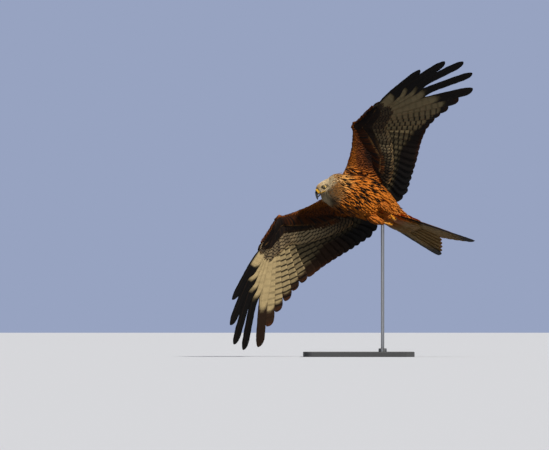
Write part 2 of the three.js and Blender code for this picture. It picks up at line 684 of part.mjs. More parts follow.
addNode(bird, "cere", cereBody.subtract(upperBill(GAP)), YELLOW_SKIN);
addNode(bird, "bill_upper", upperBill(0), HORN);
addNode(bird, "bill_lower", lowerBill(0).subtract(cere(GAP)).subtract(upperBill(GAP)), HORN);

// Tail: the coverts' cone with the forked fan, each pair of feathers under the pair inside it
const tailUp = new THREE.Vector3().crossVectors(TAIL_LEFT, TAIL_BACK).normalize();
function tailFeather(side, share, length, drop) {
  const fan = THREE.MathUtils.degToRad(TAIL.fan * share);
  const across = TAIL_LEFT.clone().multiplyScalar(side);
  const shaft = along(TAIL_BACK.clone().multiplyScalar(Math.cos(fan)), [across, Math.sin(fan)]).normalize();
  const inward = across.clone().negate();
  inward.addScaledVector(shaft, -inward.dot(shaft)).normalize();
  const root = along(TAIL_ROOT, [across, TAIL.rootSpread * share], [tailUp, -drop]);
  return { root, shaft, length, rootSide: inward, tipSide: inward, up: tailUp };
}
function tailForm() {
  const pieces = [];
  for (const [hand, side] of [1, -1].entries()) {
    for (let pair = 0; pair < TAIL.pairs; pair++) {
      const share = (pair + 0.5) / (TAIL.pairs - 0.5);
      const length = lerp(TAIL.inner, TAIL.outer, pair / (TAIL.pairs - 1));
      const drop = TAIL.step * (2 * pair + hand - TAIL.pairs);
      const shape = pair === TAIL.pairs - 1 ? OUTER_RECTRIX : RECTRIX;
      pieces.push(vane(tailFeather(side, share, length, drop), shape));
    }
    for (let pair = 0; pair < TAIL_COVERTS.pairs; pair++) {
      const share = (pair + 0.5) / TAIL_COVERTS.pairs;
      const length = TAIL_COVERTS.length - TAIL_COVERTS.shorter * pair;
      const drop = TAIL.step * (TAIL.pairs + 1 + 2 * pair + hand);
      for (const face of [1, -1]) {
        pieces.push(vane(tailFeather(side, share * TAIL_COVERTS.fan, length, face * drop), TAIL_COVERT));
      }
    }
  }
  return union(pieces).intersect(behind(TRUNK_CUTS.tail));
}
const tailCone = trunkForm(0, TAIL_CONE_DETAIL).intersect(behind(TRUNK_CUTS.tail));
addNode(bird, "tail", tailCone.add(tailForm()), TAIL_RUFOUS);

// Wings
for (const [name, pose] of Object.entries(WINGS)) {
  const frame = wingFrame(pose);
  const fold = frame.outward.clone().sub(frame.inward).normalize();
  const feathers = framed(flightFeathers(frame, pose), frame.armUp);
  const primaries = pose.reach.length;
  const armBody = (grow) => asSolid(armCore(frame, grow)).subtract(beyond(frame.wrist, fold, grow - GAP / 2));
  const handBody = (grow) => asSolid(handCore(frame, grow)).intersect(beyond(frame.wrist, fold, GAP / 2 - grow));
  const shapeOf = (i) => {
    if (i === 0) return OUTERMOST;
    if (i >= primaries) return SECONDARY;
    return i < FINGERS ? FINGERED : PRIMARY;
  };
  const row = (from, to, grow) => {
    const flight = feathers.slice(from, to);
    const shape = (i) => shapeOf(from + i);
    const spread = from < primaries ? COVERTS.hand : COVERTS.arm;
    const small = [1, -1].flatMap((face) => coverts(flight, shape, spread, face));
    return [
      ...flight.map((one, i) => vane(one, shape(i), grow)),
      ...small.map((one) => vane(one, COVERT, grow)),
    ];
  };
  const handClear = union([handBody(GAP), ...row(0, primaries, GAP)]);
  const arm = union([armBody(0), ...row(primaries, feathers.length, 0)]).subtract(handClear);
  const hand = union([handBody(0), ...row(0, primaries, 0)]).subtract(armBody(GAP));
  addNode(bird, `wing_${name}_arm`, arm.subtract(wholeGrown), WING_BROWN);
  addNode(bird, `wing_${name}_hand`, hand, DARK_FEATHER);
}

// Legs and feet
for (const [name, side] of [["left", 1], ["right", -1]]) {
  const thigh = asSolid(limb(THIGH, 14, 0, side));
  const thighGrown = asSolid(limb(THIGH, 14, GAP, side));
  addNode(bird, `thigh_${name}`, thigh.subtract(wholeGrown), RUFOUS);
  const palm = (grow) => {
    const ball = new THREE.SphereGeometry(PALM.radius + grow, 8, 6).scale(...PALM.scale);
    return asSolid(ball.translate(PALM.at[0], side * PALM.at[1], PALM.at[2]));
  };
  const toeForm = (toe, grow) => {
    const radiusAt = (i) => toe.radius * (1 - TOE_CURL.taper * i);
    const rows = toePath(toe, side).points.map((p, i) => [p.x, p.y, p.z, radiusAt(i)]);
    return asSolid(limb(rows, 6, grow, 1, rows.length - 1));
  };
  const footForm = (grow) => union([palm(grow), ...TOES.map((toe) => toeForm(toe, grow))]);
  const shank = asSolid(limb(SHANK, 8, 0, side)).subtract(thighGrown).subtract(footForm(GAP));
  addNode(bird, `shank_${name}`, shank.subtract(wholeGrown), YELLOW_SKIN);
  for (const toe of TOES) {
    const path = toePath(toe, side);
    const tip = path.points[path.points.length - 1];
    const base = along(tip, [path.end, GAP]);
    const claw = [];
    for (let i = 0; i <= CLAW.steps; i++) {
      const angle = path.angle + (THREE.MathUtils.degToRad(CLAW.bend) * Math.max(0, i - 1)) / 2;
      const last = i ? vector(claw[i - 1]) : base;
      const at = i ? along(last, [path.bend(angle), CLAW.length / CLAW.steps]) : base;
      claw.push([at.x, at.y, at.z, CLAW.radius * (1 - i / CLAW.steps) + CLAW.tip]);
    }
    const clawForm = asSolid(limb(claw, 5, 0, 1, 4)).subtract(wholeGrown);
    addNode(bird, `claw_${name}_${toe.name}`, clawForm, HORN);
  }
  addNode(bird, `foot_${name}`, footForm(0).subtract(wholeGrown), YELLOW_SKIN);
}

// Stand: a flat base, a collar and one rod up to the belly
const rodFoot = new THREE.Vector2(BIRD_AT.x + ROD.x, BIRD_AT.y + ROD.y);
function baseForm() {
  const { length, depth, corner, height, bevel } = BASE;
  const half = [length / 2 - bevel, depth / 2 - bevel];
  const outline = new THREE.Shape();
  outline.absarc(half[0] - corner, -half[1] + corner, corner, -Math.PI / 2, 0);
  outline.absarc(half[0] - corner, half[1] - corner, corner, 0, Math.PI / 2);
  outline.absarc(-half[0] + corner, half[1] - corner, corner, Math.PI / 2, Math.PI);
  outline.absarc(-half[0] + corner, -half[1] + corner, corner, Math.PI, 1.5 * Math.PI);
  const plate = new THREE.ExtrudeGeometry(outline, {
    depth: height - 2 * bevel,
    bevelThickness: bevel,
    bevelSize: bevel,
    bevelSegments: 1,
    curveSegments: 4,
  });
  return asSolid(plate.translate(0, 0, bevel));
}
function collarForm() {
  const inner = ROD.radius + GAP;
  const outer = SOCKET.radius;
  const floor = BASE.height + GAP;
  const profile = [
    new THREE.Vector2(inner, floor),
    new THREE.Vector2(outer, floor),
    new THREE.Vector2(outer, floor + SOCKET.height - SOCKET.lip),
    new THREE.Vector2(outer - SOCKET.lip, floor + SOCKET.height),
    new THREE.Vector2(inner, floor + SOCKET.height),
    new THREE.Vector2(inner, floor),
  ];
  const collar = new THREE.LatheGeometry(profile, SOCKET.sides).rotateX(Math.PI / 2);
  return asSolid(collar.translate(rodFoot.x, rodFoot.y, 0));
}
const rodLength = BIRD_AT.z - BASE.height - GAP;
const rod = new THREE.CylinderGeometry(ROD.radius, ROD.radius, rodLength, ROD.sides).rotateX(Math.PI / 2);
rod.translate(rodFoot.x, rodFoot.y, BASE.height + GAP + rodLength / 2);
const toBird = bird.matrixWorld.clone().invert();
const rodInBird = asSolid(rod.applyMatrix4(toBird)).subtract(wholeGrown);
addNode(bird, "stand_rod", rodInBird, STAND_STEEL);
addNode(stand, "stand_base", baseForm(), STAND_PAINT);
addNode(stand, "stand_collar", collarForm(), STAND_STEEL);

export default kite;
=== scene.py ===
import json
import logging
import math
from dataclasses import dataclass, field, replace
from enum import Enum
from typing import Callable

import bmesh
import bpy
import numpy as np
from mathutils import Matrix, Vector
from mathutils.bvhtree import BVHTree

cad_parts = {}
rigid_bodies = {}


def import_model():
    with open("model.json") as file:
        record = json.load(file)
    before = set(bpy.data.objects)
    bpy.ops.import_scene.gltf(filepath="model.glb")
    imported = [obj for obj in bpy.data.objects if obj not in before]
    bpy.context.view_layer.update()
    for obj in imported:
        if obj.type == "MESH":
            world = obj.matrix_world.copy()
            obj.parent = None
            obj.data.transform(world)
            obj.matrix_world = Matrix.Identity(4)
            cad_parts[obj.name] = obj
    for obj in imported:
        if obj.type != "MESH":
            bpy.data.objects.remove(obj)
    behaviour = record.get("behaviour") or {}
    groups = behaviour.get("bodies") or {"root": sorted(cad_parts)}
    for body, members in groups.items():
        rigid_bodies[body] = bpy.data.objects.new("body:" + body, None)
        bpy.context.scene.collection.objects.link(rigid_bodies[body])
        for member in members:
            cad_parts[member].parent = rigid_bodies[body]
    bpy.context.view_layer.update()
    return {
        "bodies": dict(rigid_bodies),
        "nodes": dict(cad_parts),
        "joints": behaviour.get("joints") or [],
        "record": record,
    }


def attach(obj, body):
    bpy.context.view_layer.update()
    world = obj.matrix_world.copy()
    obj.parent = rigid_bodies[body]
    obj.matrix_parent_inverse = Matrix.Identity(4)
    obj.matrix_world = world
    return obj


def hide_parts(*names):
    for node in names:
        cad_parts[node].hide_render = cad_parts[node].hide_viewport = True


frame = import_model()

# Red kite gliding in a steep bank, life size, on a plain display stand, in metres.
# Part frame: X to the right, Y away from the viewer, Z up, origin under the middle of the base.
# Bird frame: x forward, y to the bird's left, z towards its back, origin in the middle of the trunk.

LOG = logging.getLogger("red_kite")
MM = 0.001
SIDES = {1: "left", -1: "right"}
Array = np.ndarray
Marks = dict[str, np.ndarray]
Triple = tuple[float, float, float]
Shade = tuple[int, int, int]
Table = tuple[tuple[float, ...], ...]
Piece = bpy.types.Object
Material = bpy.types.Material
Plug = bpy.types.NodeSocket
Pair = tuple[float, float]
Numbers = tuple[float, ...]


def unit(vectors: Array) -> Array:
    """Directions of one vector or of a stack of them, at length one."""
    return vectors / np.maximum(np.linalg.norm(vectors, axis=-1, keepdims=True), 1e-12)


def dot(a: Array, b: Array) -> Array:
    """Dot products of two stacks of vectors, kept as a last axis of one."""
    return np.sum(a * b, axis=-1, keepdims=True)


def smooth(start: float, end: float, value: Array | float) -> Array:
    """Smooth step from 0 at start to 1 at end."""
    t = np.clip((np.asarray(value, float) - start) / (end - start), 0.0, 1.0)
    return t * t * (3.0 - 2.0 * t)


def mix(a: Array | float, b: Array | float, share: Array | float) -> Array:
    """Value at a share of the way from a to b."""
    return np.asarray(a) * (1.0 - np.asarray(share)) + np.asarray(b) * share


def curve_at(rows: Array, places: Array) -> Array:
    """Smooth curve through rows of values.

    Args:
        rows: Values at places 0, 1, 2 and so on, one row each.
        places: Where to read the curve, in rows.

    Returns:
        The interpolated rows.
    """
    rows = np.asarray(rows, float)
    last = len(rows) - 1
    places = np.clip(np.asarray(places, float), 0.0, last)
    start = np.minimum(places.astype(int), last - 1)
    t = (places - start)[..., None]
    before = rows[np.maximum(start - 1, 0)]
    here = rows[start]
    there = rows[start + 1]
    after = rows[np.minimum(start + 2, last)]
    slope_here = (there - before) / 2.0
    slope_there = (after - here) / 2.0
    cubic = 2.0 * here - 2.0 * there + slope_here + slope_there
    square = -3.0 * here + 3.0 * there - 2.0 * slope_here - slope_there
    return ((cubic * t + square) * t + slope_here) * t + here


@dataclass(frozen=True)
class Axes:
    """Directions of a frame that lies turned in another one."""

    forward: Triple
    left: Triple

    def axes(self) -> Array:
        """Rows of the forward, left and up directions in the outer frame."""
        forward = unit(np.array(self.forward))
        left = np.array(self.left)
        left = unit(left - dot(left, forward) * forward)
        return np.stack([forward, left, np.cross(forward, left)])


@dataclass(frozen=True)
class Attitude(Axes):
    """Where the bird frame lies in the part frame."""

    origin: Triple = (0.013, 0.009, 0.566)
    forward: Triple = (-0.7631, -0.44, 0.4734)
    left: Triple = (0.596, -0.1955, 0.7788)

    def place(self, points: Array) -> Array:
        """Points of the bird frame, moved to the part frame."""
        return np.asarray(points) @ self.axes() + np.array(self.origin)


ATTITUDE = Attitude()


class Make:
    """Turns arrays into Blender objects and back."""

    @staticmethod
    def linked(name: str, data: bpy.types.ID) -> Piece:
        """An object of the given data, linked to the scene."""
        made = bpy.data.objects.new(name, data)
        bpy.context.scene.collection.objects.link(made)
        return made

    @staticmethod
    def mesh(name: str, points: Array, faces: list | Array) -> Piece:
        """A mesh object with smooth faces in the part frame.

        Args:
            name: Name of the piece.
            points: Corners in the part frame, in metres.
            faces: Corner numbers of each face.

        Returns:
            The object, linked to the scene.
        """
        data = bpy.data.meshes.new(name)
        corners = faces.tolist() if isinstance(faces, np.ndarray) else faces
        data.from_pydata(np.asarray(points, float).tolist(), [], corners)
        data.validate()
        data.shade_smooth()
        return Make.linked(name, data)

    @staticmethod
    def closed(name: str, points: Array, faces: list | Array) -> Piece:
        """A closed mesh object, made as by `mesh`, whose faces all look outwards."""
        made = Make.mesh(name, points, faces)
        work = bmesh.new()
        work.from_mesh(made.data)
        bmesh.ops.recalc_face_normals(work, faces=work.faces)
        work.to_mesh(made.data)
        work.free()
        return made

    @staticmethod
    def tube(name: str, points: Array, rings: int, around: int) -> Piece:
        """A closed tube whose end rings are filled.

        Args:
            name: Name of the piece.
            points: Points of all rings in the part frame, in metres.
            rings: Number of rings.
            around: Points in each ring.

        Returns:
            The object, linked to the scene.
        """
        steps = list(range(around))
        faces = []
        for ring in range(rings - 1):
            for step in steps:
                a, b = ring * around + step, ring * around + (step + 1) % around
                faces.append([a, b, b + around, a + around])
        faces.append(steps[::-1])
        faces.append([(rings - 1) * around + step for step in steps])
        return Make.closed(name, points.reshape(-1, 3), faces)

    @staticmethod
    def attribute(piece: Piece, name: str, values: Array) -> None:
        """Stores a number, a vector or, by the name `tint`, a colour at each point of a piece."""
        values = np.asarray(values, np.float32)
        kind, key = ("FLOAT", "value") if values.ndim == 1 else ("FLOAT_VECTOR", "vector")
        if name == "tint":
            kind, key = "FLOAT_COLOR", "color"
            values = np.column_stack([values, np.ones(len(values), np.float32)])
        layer = piece.data.attributes.new(name, kind, "POINT")
        layer.data.foreach_set(key, values.ravel())

    @staticmethod
    def values(items: bpy.types.bpy_prop_collection, name: str, wide: int, kind: type = float) -> Array:
        """A property of all items of a mesh.

        Args:
            items: The points, faces or other items.
            name: Name of the property.
            wide: How many values each item has.
            kind: Type of the values.

        Returns:
            One row of values for each item.
        """
        found = np.zeros(len(items) * wide, kind)
        items.foreach_get(name, found)
        return found.reshape(-1, wide)

    @staticmethod
    def join(name: str, pieces: list[Piece]) -> Piece:
        """Joins pieces into one object of the given name."""
        first = pieces[0]
        if len(pieces) > 1:
            bpy.ops.object.select_all(action="DESELECT")
            for piece in pieces:
                piece.select_set(True)
            bpy.context.view_layer.objects.active = first
            bpy.ops.object.join()
        first.name = first.data.name = name
        return first

    @staticmethod
    def remesh(piece: Piece, voxel: float, passes: int) -> None:
        """Adds the modifiers that turn a piece into one even skin and smooth it."""
        cells = piece.modifiers.new("remesh", "REMESH")
        cells.mode, cells.voxel_size, cells.use_smooth_shade = "VOXEL", voxel, True
        soften = piece.modifiers.new("soften", "SMOOTH")
        soften.iterations, soften.factor = passes, 0.5

    @staticmethod
    def applied(piece: Piece) -> Piece:
        """Makes a piece's modifiers part of its mesh."""
        bpy.context.view_layer.update()
        result = bpy.data.meshes.new_from_object(piece.evaluated_get(bpy.context.evaluated_depsgraph_get()))
        piece.modifiers.clear()
        old = piece.data
        piece.data = result
        result.name = piece.name
        bpy.data.meshes.remove(old)
        return piece


def settle(piece: Piece, slot: str, *nodes: str) -> None:
    """Tells the frame what a finished piece rides on and the nodes that it stands for.

    Args:
        piece: The finished mesh object.
        slot: Name of the material slot in the record; not used.
        nodes: Names of the CAD nodes that the piece replaces.
    """
    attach(piece, "root")
    if nodes:
        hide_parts(*nodes)
    LOG.info("%s: %d faces", piece.name, len(piece.data.polygons))


@dataclass(frozen=True)
class Section:
    """Rings of a tube: centres, axes and reach each way, where all rings may share an axis."""

    centre: Array
    side: Array
    up: Array
    wide: Array
    above: Array
    below: Array


@dataclass(frozen=True)
class Trunk:
    """Trunk from the tail coverts to the upper neck.

    Each ring is centre x, y, z, half width, rise of the back and drop of the belly in millimetres,
    and roll in degrees.
    """

    rings: Table = (
        (-202, 14, 10, 36, 2.5, 2.5, -44),
        (-177, 14, 10, 41, 8, 9, -40),
        (-150, 13, 9, 43, 18, 20, -30),
        (-122, 12, 6, 48, 28, 32, -12),
        (-92, 12, 3, 58, 36, 41, 0),
        (-56, 12, 1, 70, 42, 49, 0),
        (-18, 9, 0, 76, 46, 55, 0),
        (22, 1, 0, 79, 46, 58, 0),
        (60, -9.5, -2, 77, 44, 56, 0),
        (90, -16, -5, 71, 41, 51, 0),
        (112, -19, -8, 65, 38, 46, 0),
        (128, -21, -10, 61, 34, 41, 0),
        (141, -22, -11, 57, 29, 35, 0),
        (151, -23, -11, 49, 24, 29, 0),
        (158, -24, -11, 35, 17, 21, 0),
    )

    def section(self, place: Array, inset: float = 0.0) -> Section:
        """Rings at places along the trunk.

        Args:
            place: Share of the way from the tail's end to the neck, from 0 to 1.
            inset: How far inside the outer form the rings lie, in metres.

        Returns:
            The rings in the bird frame.
        """
        table = np.array(self.rings)
        at = np.asarray(place, float) * (len(table) - 1)
        rows = curve_at(table, at)
        step = 0.02
        ahead = curve_at(table[:, :3], np.minimum(at + step, len(table) - 1))
        behind = curve_at(table[:, :3], np.maximum(at - step, 0.0))
        tangent = unit(ahead - behind)
        roll = np.radians(rows[..., 6])
        side = np.stack([np.zeros_like(roll), np.cos(roll), np.sin(roll)], axis=-1)
        side = unit(side - dot(side, tangent) * tangent)
        reach = np.maximum(rows[..., 3:6] * MM - inset, 0.001)
        up = np.cross(tangent, side)
        return Section(rows[..., :3] * MM, side, up, reach[..., 0], reach[..., 1], reach[..., 2])


TRUNK = Trunk()


@dataclass(frozen=True)
class Shoulder:
    """Place of the left shoulder joint and the lengths of the wing's bones."""

    place: Triple = (0.055, 0.038, 0.022)
    upper_arm: float = 0.125
    forearm: float = 0.145
    hand: float = 0.112


@dataclass(frozen=True)
class WingPose:
    """Pose of one wing, with lengths in millimetres and angles in degrees.

    The lists run from the outermost primary inwards. The underside's darkening share is painted shade: how
    far the underside is painted darker, as for a wing that lies in shade.
    """

    name: str
    side: int
    arm: Triple
    front: float
    web: float
    # Painted shade: how far this wing's underside is painted darker, as if it lay in shade.
    sepia_and_painted_shade: float
    hand: Triple
    reach: Numbers
    fan: Numbers
    lift: Numbers
    edge: Pair
    trim: float
    edge_lift: Numbers


LEFT_WING = WingPose(
    name="left",
    side=1,
    arm=(-39.6, 5.0, 215.9),
    front=-3.0,
    web=70.0,
    # The left wing's underside carries painted shade, darker as if it lay in shade.
    sepia_and_painted_shade=0.85,
    hand=(3.1, -20.4, 0.1),
    reach=(348, 437, 487, 486, 458, 396, 351, 319, 296, 279),
    fan=(0.2, 5.4, 10.8, 18.3, 26.7, 30.4, 35.3, 39.6, 44.6, 50),
    lift=(0, 0, 0, 2, 6, 10, 14, 18, 20, 21),
    edge=(45.0, 305.0),
    trim=9.0,
    edge_lift=(-20, -11, -4, 0, 0, 0, 0, 0, 0, 0, 0, 0),
)
RIGHT_WING = WingPose(
    name="right",
    side=-1,
    arm=(-38.5, 5.2, 245.5),
    front=0.0,
    web=52.0,
    sepia_and_painted_shade=0.0,
    hand=(-1.1, -21.7, 8.7),
    reach=(343, 426, 485, 495, 477, 402, 352, 320, 293, 280),
    fan=(0, 6.3, 12, 17.6, 25.3, 29.7, 35.7, 43.4, 50.9, 59.3),
    lift=(0, 0, 0, 2, 6, 10, 13, 14, 12, 6),
    edge=(62.0, 336.0),
    trim=0.0,
    edge_lift=(2, 7, 10, 10, 8, 5, 2, 0, 0, 0, 0, 0),
)


class WingFrame:
    """Axes of one wing: its wrist, its arm's plane and its hand's plane, in the bird frame."""

    def __init__(self, pose: WingPose, bones: Shoulder = Shoulder()) -> None:
        """Works the axes out from the pose.

        Args:
            pose: Pose of the wing.
            bones: Shoulder joint and bone lengths.
        """
        self.pose = pose
        self.bones = bones
        side = pose.side
        x, y, z = bones.place
        shoulder = np.array([x, side * y, z])
        self.length = pose.arm[2] * MM
        self.wrist = shoulder + self.heading(pose.arm[0], pose.arm[1]) * self.length
        self.inward = unit(shoulder - self.wrist)
        back = np.array([-1.0, 0.0, -0.07])
        self.arm_back = unit(back - back @ self.inward * self.inward)
        self.arm_up = self.upright(self.inward, self.arm_back)
        self.outward = self.heading(pose.hand[0], pose.hand[1])
        level = np.array([-1.0, 0.0, 0.0])
        level = unit(level - level @ self.outward * self.outward)
        twist = math.radians(pose.hand[2])
        self.hand_back = level * math.cos(twist) + self.upright(self.outward, level) * math.sin(twist)
        self.hand_up = self.upright(self.outward, self.hand_back)
        arm = self.length
        self.elbow_in = (bones.forearm**2 - bones.upper_arm**2 + arm**2) / (2.0 * arm)
        self.elbow_back = math.sqrt(bones.forearm**2 - self.elbow_in**2)

    def heading(self, sweep: float, rise: float) -> Array:
        """Direction from the shoulder outwards, swept back and raised by angles in degrees."""
        s, r = math.radians(sweep), math.radians(rise)
        return np.array([-math.sin(s) * math.cos(r), self.pose.side * math.cos(s) * math.cos(r), math.sin(r)])

    @staticmethod
    def upright(axis: Array, back: Array) -> Array:
        """Normal of the plane of two directions, on the bird's upper side."""
        normal = unit(np.cross(axis, back))
        return -normal if normal[2] < 0.0 else normal

    def on_hand(self, out: Array, back: Array, up: Array) -> Array:
        """Points of the hand's plane from distances outwards, backwards and upwards."""
        out, back, up = (np.asarray(value, float)[..., None] for value in (out, back, up))
        return self.wrist + out * self.outward + back * self.hand_back + up * self.hand_up

    def on_arm(self, inward: Array, back: Array, up: Array) -> Array:
        """Points of the arm's plane from distances inwards, backwards and upwards."""
        inward, back, up = (np.asarray(value, float)[..., None] for value in (inward, back, up))
        return self.wrist + inward * self.inward + back * self.arm_back + up * self.arm_up


@dataclass
class Row:
    """A row of feathers along a wing or a tail, each from its root to its tip.

    Attributes:
        root: Roots, on the row's middle surface.
        tip: Tips.
        up: Upper side of each feather.
        root_side: Direction of the next feather inwards, near the root.
        tip_side: The same at the tip.
    """

    root: Array
    tip: Array
    up: Array
    root_side: Array
    tip_side: Array

    def __len__(self) -> int:
        """Number of feathers."""
        return len(self.root)

    @property
    def length(self) -> Array:
        """Length of each feather."""
        return np.linalg.norm(self.tip - self.root, axis=1)

    @property
    def shaft(self) -> Array:
        """Direction of each shaft."""
        return unit(self.tip - self.root)

    def at(self, places: Array) -> "Row":
        """Feathers between those of the row.

        Args:
            places: Places along the row, where 0 is its first feather and 1 its second.

        Returns:
            A row with one feather for each place.
        """
        parts = (self.root, self.tip, self.up, self.root_side, self.tip_side)
        root, tip, up, root_side, tip_side = (curve_at(part, places) for part in parts)
        return Row(root, tip, unit(up), unit(root_side), unit(tip_side))


def row_between(root: Array, tip: Array, above: Array, side_from: float = 0.35) -> Row:
    """Row of feathers whose sides follow their neighbours.

    Args:
        root: Roots in order.
        tip: Tips in order.
        above: Direction of the row's upper side.
        side_from: Share of the length where the neighbours are compared near the root.

    Returns:
        The framed row.
    """
    shaft = unit(tip - root)
    following = np.minimum(np.arange(len(root)) + 1, len(root) - 1)
    before = np.maximum(np.arange(len(root)) - 1, 0)

    def towards(share: float) -> Array:
        """Direction inwards along the row at a share of the length."""
        points = mix(root, tip, share)
        side = points[following] - points[before]
        return unit(side - dot(side, shaft) * shaft)

    root_side, tip_side = towards(side_from), towards(1.0)
    up = unit(np.cross(shaft, root_side + tip_side))
    up = np.where(dot(up, above) < 0.0, -up, up)
    return Row(root, tip, up, root_side, tip_side)


@dataclass(frozen=True)
class VaneShape:
    """Outline and bend of a feather, in millimetres, with bends as shares of the length."""

    lead: float = 12.0
    trail: float = 31.0
    tip: float = 44.0
    arch: float = -0.012
    bow: float = 0.028
    tilt: float = 7.0
    base: float = 0.4
    fingers: Pair | None = None
    narrow: Pair = (0.9, 0.6)
    blunt: float = 2.0
    shaft: float = 2.4
    thick: float = 0.5
    camber: float = 1.4
    steps: int = 40
    ribs: int = 4
    ragged: float = 0.35


@dataclass
class FeatherSet:
    """Points and faces of many feathers, gathered into one piece.

    Attributes:
        points: Blocks of points in the bird frame.
        faces: Blocks of faces.
        marks: Blocks of values for each attribute.
        total: Number of points so far.
    """

    points: list[Array] = field(default_factory=list)
    faces: list[Array] = field(default_factory=list)
    marks: dict[str, list[Array]] = field(default_factory=dict)
    total: int = 0

    def add(self, points: Array, faces: Array, marks: Marks) -> None:
        """Adds one feather's points, its quads and its marks."""
        self.points.append(points)
        self.faces.append(faces + self.total)
        for name, values in marks.items():
            self.marks.setdefault(name, []).append(values)
        self.total += len(points)

    def piece(self, name: str) -> Piece:
        """One mesh of all feathers, in the part frame, with its marks as attributes."""
        made = Make.mesh(name, ATTITUDE.place(np.concatenate(self.points)), np.concatenate(self.faces))
        for mark, blocks in self.marks.items():
            Make.attribute(made, mark, np.concatenate(blocks))
        return made


def vane_faces(stations: int, around: int) -> Array:
    """Quads of a closed blade of rings, whose ends are closed by strips of quads.

    Args:
        stations: Number of rings.
        around: Even number of points in a ring, the first half on the upper face.

    Returns:
        The quads.
    """
    ring = np.arange(around)
    step = np.arange(stations - 1)[:, None] * around
    a = step + ring
    b = step + (ring + 1) % around
    walls = np.stack([a, b, b + around, a + around], axis=-1).reshape(-1, 4)
    half = around // 2
    ends = []
    for i in range(half - 1):
        quad = [i, around - 1 - i, around - 2 - i, i + 1]
        ends.append(quad)
        ends.append([q + (stations - 1) * around for q in quad[::-1]])
    return np.concatenate([walls, np.array(ends)])


def build_vane(row: Row, index: int, shape: VaneShape, seed: int) -> tuple[Array, Array, Marks]:
    """One feather as a closed thin blade with a raised shaft.

    Args:
        row: Row that the feather belongs to.
        index: Its number in the row.
        shape: Outline and bend.
        seed: Seed of its small irregularities.

    Returns:
        Its points in the bird frame, its quads, and the marks `along`, `across` and `under`.
    """
    rng = np.random.default_rng(seed)
    length = row.length[index]
    shaft, up = row.shaft[index], row.up[index]
    share = np.sin(np.linspace(0.0, 1.0, shape.steps) ** 0.9 * math.pi / 2.0)
    side = mix(row.root_side[index], row.tip_side[index], smooth(0.35, 1.0, share)[:, None])
    side = unit(side - dot(side, shaft) * shaft)
    upper = np.cross(shaft, side)
    upper = np.where(dot(upper, up) < 0.0, -upper, upper)
    tilt = math.radians(shape.tilt)
    across_dir = side * math.cos(tilt) - upper * math.sin(tilt)
    normal = upper * math.cos(tilt) + side * math.sin(tilt)
    tip_from = 1.0 - shape.tip * MM / length
    rounding = np.maximum(0.0, (share - tip_from) / (1.0 - tip_from))
    width = mix(shape.base, 1.0, smooth(0.0, 0.28, share))
    width = width * np.maximum(0.02, 1.0 - rounding**shape.blunt) ** (1.0 / shape.blunt)
    lead, trail = width * shape.lead * MM, width * shape.trail * MM
    if shape.fingers:
        cut = smooth(shape.fingers[0], shape.fingers[1], share)
        lead = lead * mix(1.0, shape.narrow[0], cut)
        trail = trail * mix(1.0, shape.narrow[1], cut)
    wobble = rng.normal(0.0, shape.ragged * MM, (2, shape.steps))
    lead = np.maximum(lead + wobble[0] * width, 0.0004)
    trail = np.maximum(trail + wobble[1] * width, 0.0004)
    swell = 4.0 * share * (1.0 - share) * length
    spine = row.root[index] + share[:, None] * length * shaft
    spine = spine + (shape.arch * swell)[:, None] * up - (shape.bow * swell)[:, None] * row.tip_side[index]
    lead_half = np.linspace(-1.0, 0.0, shape.ribs, endpoint=False)
    half = np.concatenate([lead_half, np.linspace(0.0, 1.0, shape.ribs + 1)])
    reach = np.where(half[None, :] < 0.0, lead[:, None], trail[:, None]) * half[None, :]
    taper = 1.0 - 0.75 * share[:, None]
    rib = np.exp(-((reach / (0.8 * MM * shape.shaft)) ** 2)) * shape.shaft * MM * taper * 0.5
    skin = shape.thick * MM * 0.5 * (1.0 - 0.6 * half[None, :] ** 2) * np.ones_like(reach)
    bend = -shape.camber * MM * (half[None, :] ** 2) * width[:, None]
    top, bottom = bend + skin + rib * 0.7, bend - skin - rib
    wide = np.concatenate([reach, reach[:, ::-1]], axis=1)
    tall = np.concatenate([top, bottom[:, ::-1]], axis=1)
    points = spine[:, None] + wide[..., None] * across_dir[:, None] + tall[..., None] * normal[:, None]
    around = points.shape[1]
    across = np.concatenate([half, half[::-1]])
    marks = {
        "along": np.repeat(share, around),
        "across": np.tile(across, shape.steps),
        "under": np.tile(np.repeat([0.0, 1.0], around // 2), shape.steps),
    }
    return points.reshape(-1, 3), vane_faces(shape.steps, around), marks


def linear(red: float, green: float, blue: float) -> Array:
    """Linear colour of a display colour given from 0 to 255."""
    c = np.array([red, green, blue], float) / 255.0
    return np.where(c <= 0.04045, c / 12.92, ((c + 0.055) / 1.055) ** 2.4)


@dataclass(frozen=True)
class Plumage:
    """Feather colours, as display colours from 0 to 255."""

    orange: Shade = (216, 124, 40)
    rufous: Shade = (160, 86, 34)
    chestnut: Shade = (112, 60, 30)
    sepia: Shade = (60, 42, 30)
    black: Shade = (11, 9, 9)
    slate: Shade = (84, 72, 58)
    cream: Shade = (196, 174, 130)
    brick: Shade = (214, 188, 144)
    pale_head: Shade = (250, 230, 190)
    lore: Shade = (40, 32, 27)
    buff: Shade = (184, 140, 84)
    tail_buff: Shade = (172, 138, 84)
    tail_upper: Shade = (190, 104, 44)
    neck: Shade = (238, 174, 96)

    def colour(self, name: str) -> Array:
        """Linear colour of a name."""
        return linear(*getattr(self, name))


PLUMAGE = Plumage()


def blend(a: Array | str, b: Array | str, share: Array | float) -> Array:
    """Colours a share of the way from a to b, which are colours or names of the plumage."""
    share = np.asarray(share, float)[..., None]
    a, b = (PLUMAGE.colour(each) if isinstance(each, str) else each for each in (a, b))
    return a * (1.0 - share) + b * share


def marked(marks: Marks, tint: Array, bars: Array | float, phase: Array, streak: float) -> Marks:
    """Marks of a vane with its colour, bars, their phase and the shaft's streak added."""
    level = np.ones_like(marks["along"])
    return marks | {"tint": tint, "bars": bars * level, "phase": phase, "streak": streak * level}


class Tier(Enum):
    """Rows of coverts, from the flight feathers forwards."""

    GREATER = "greater"
    MEDIAN = "median"
    LESSER = "lesser"


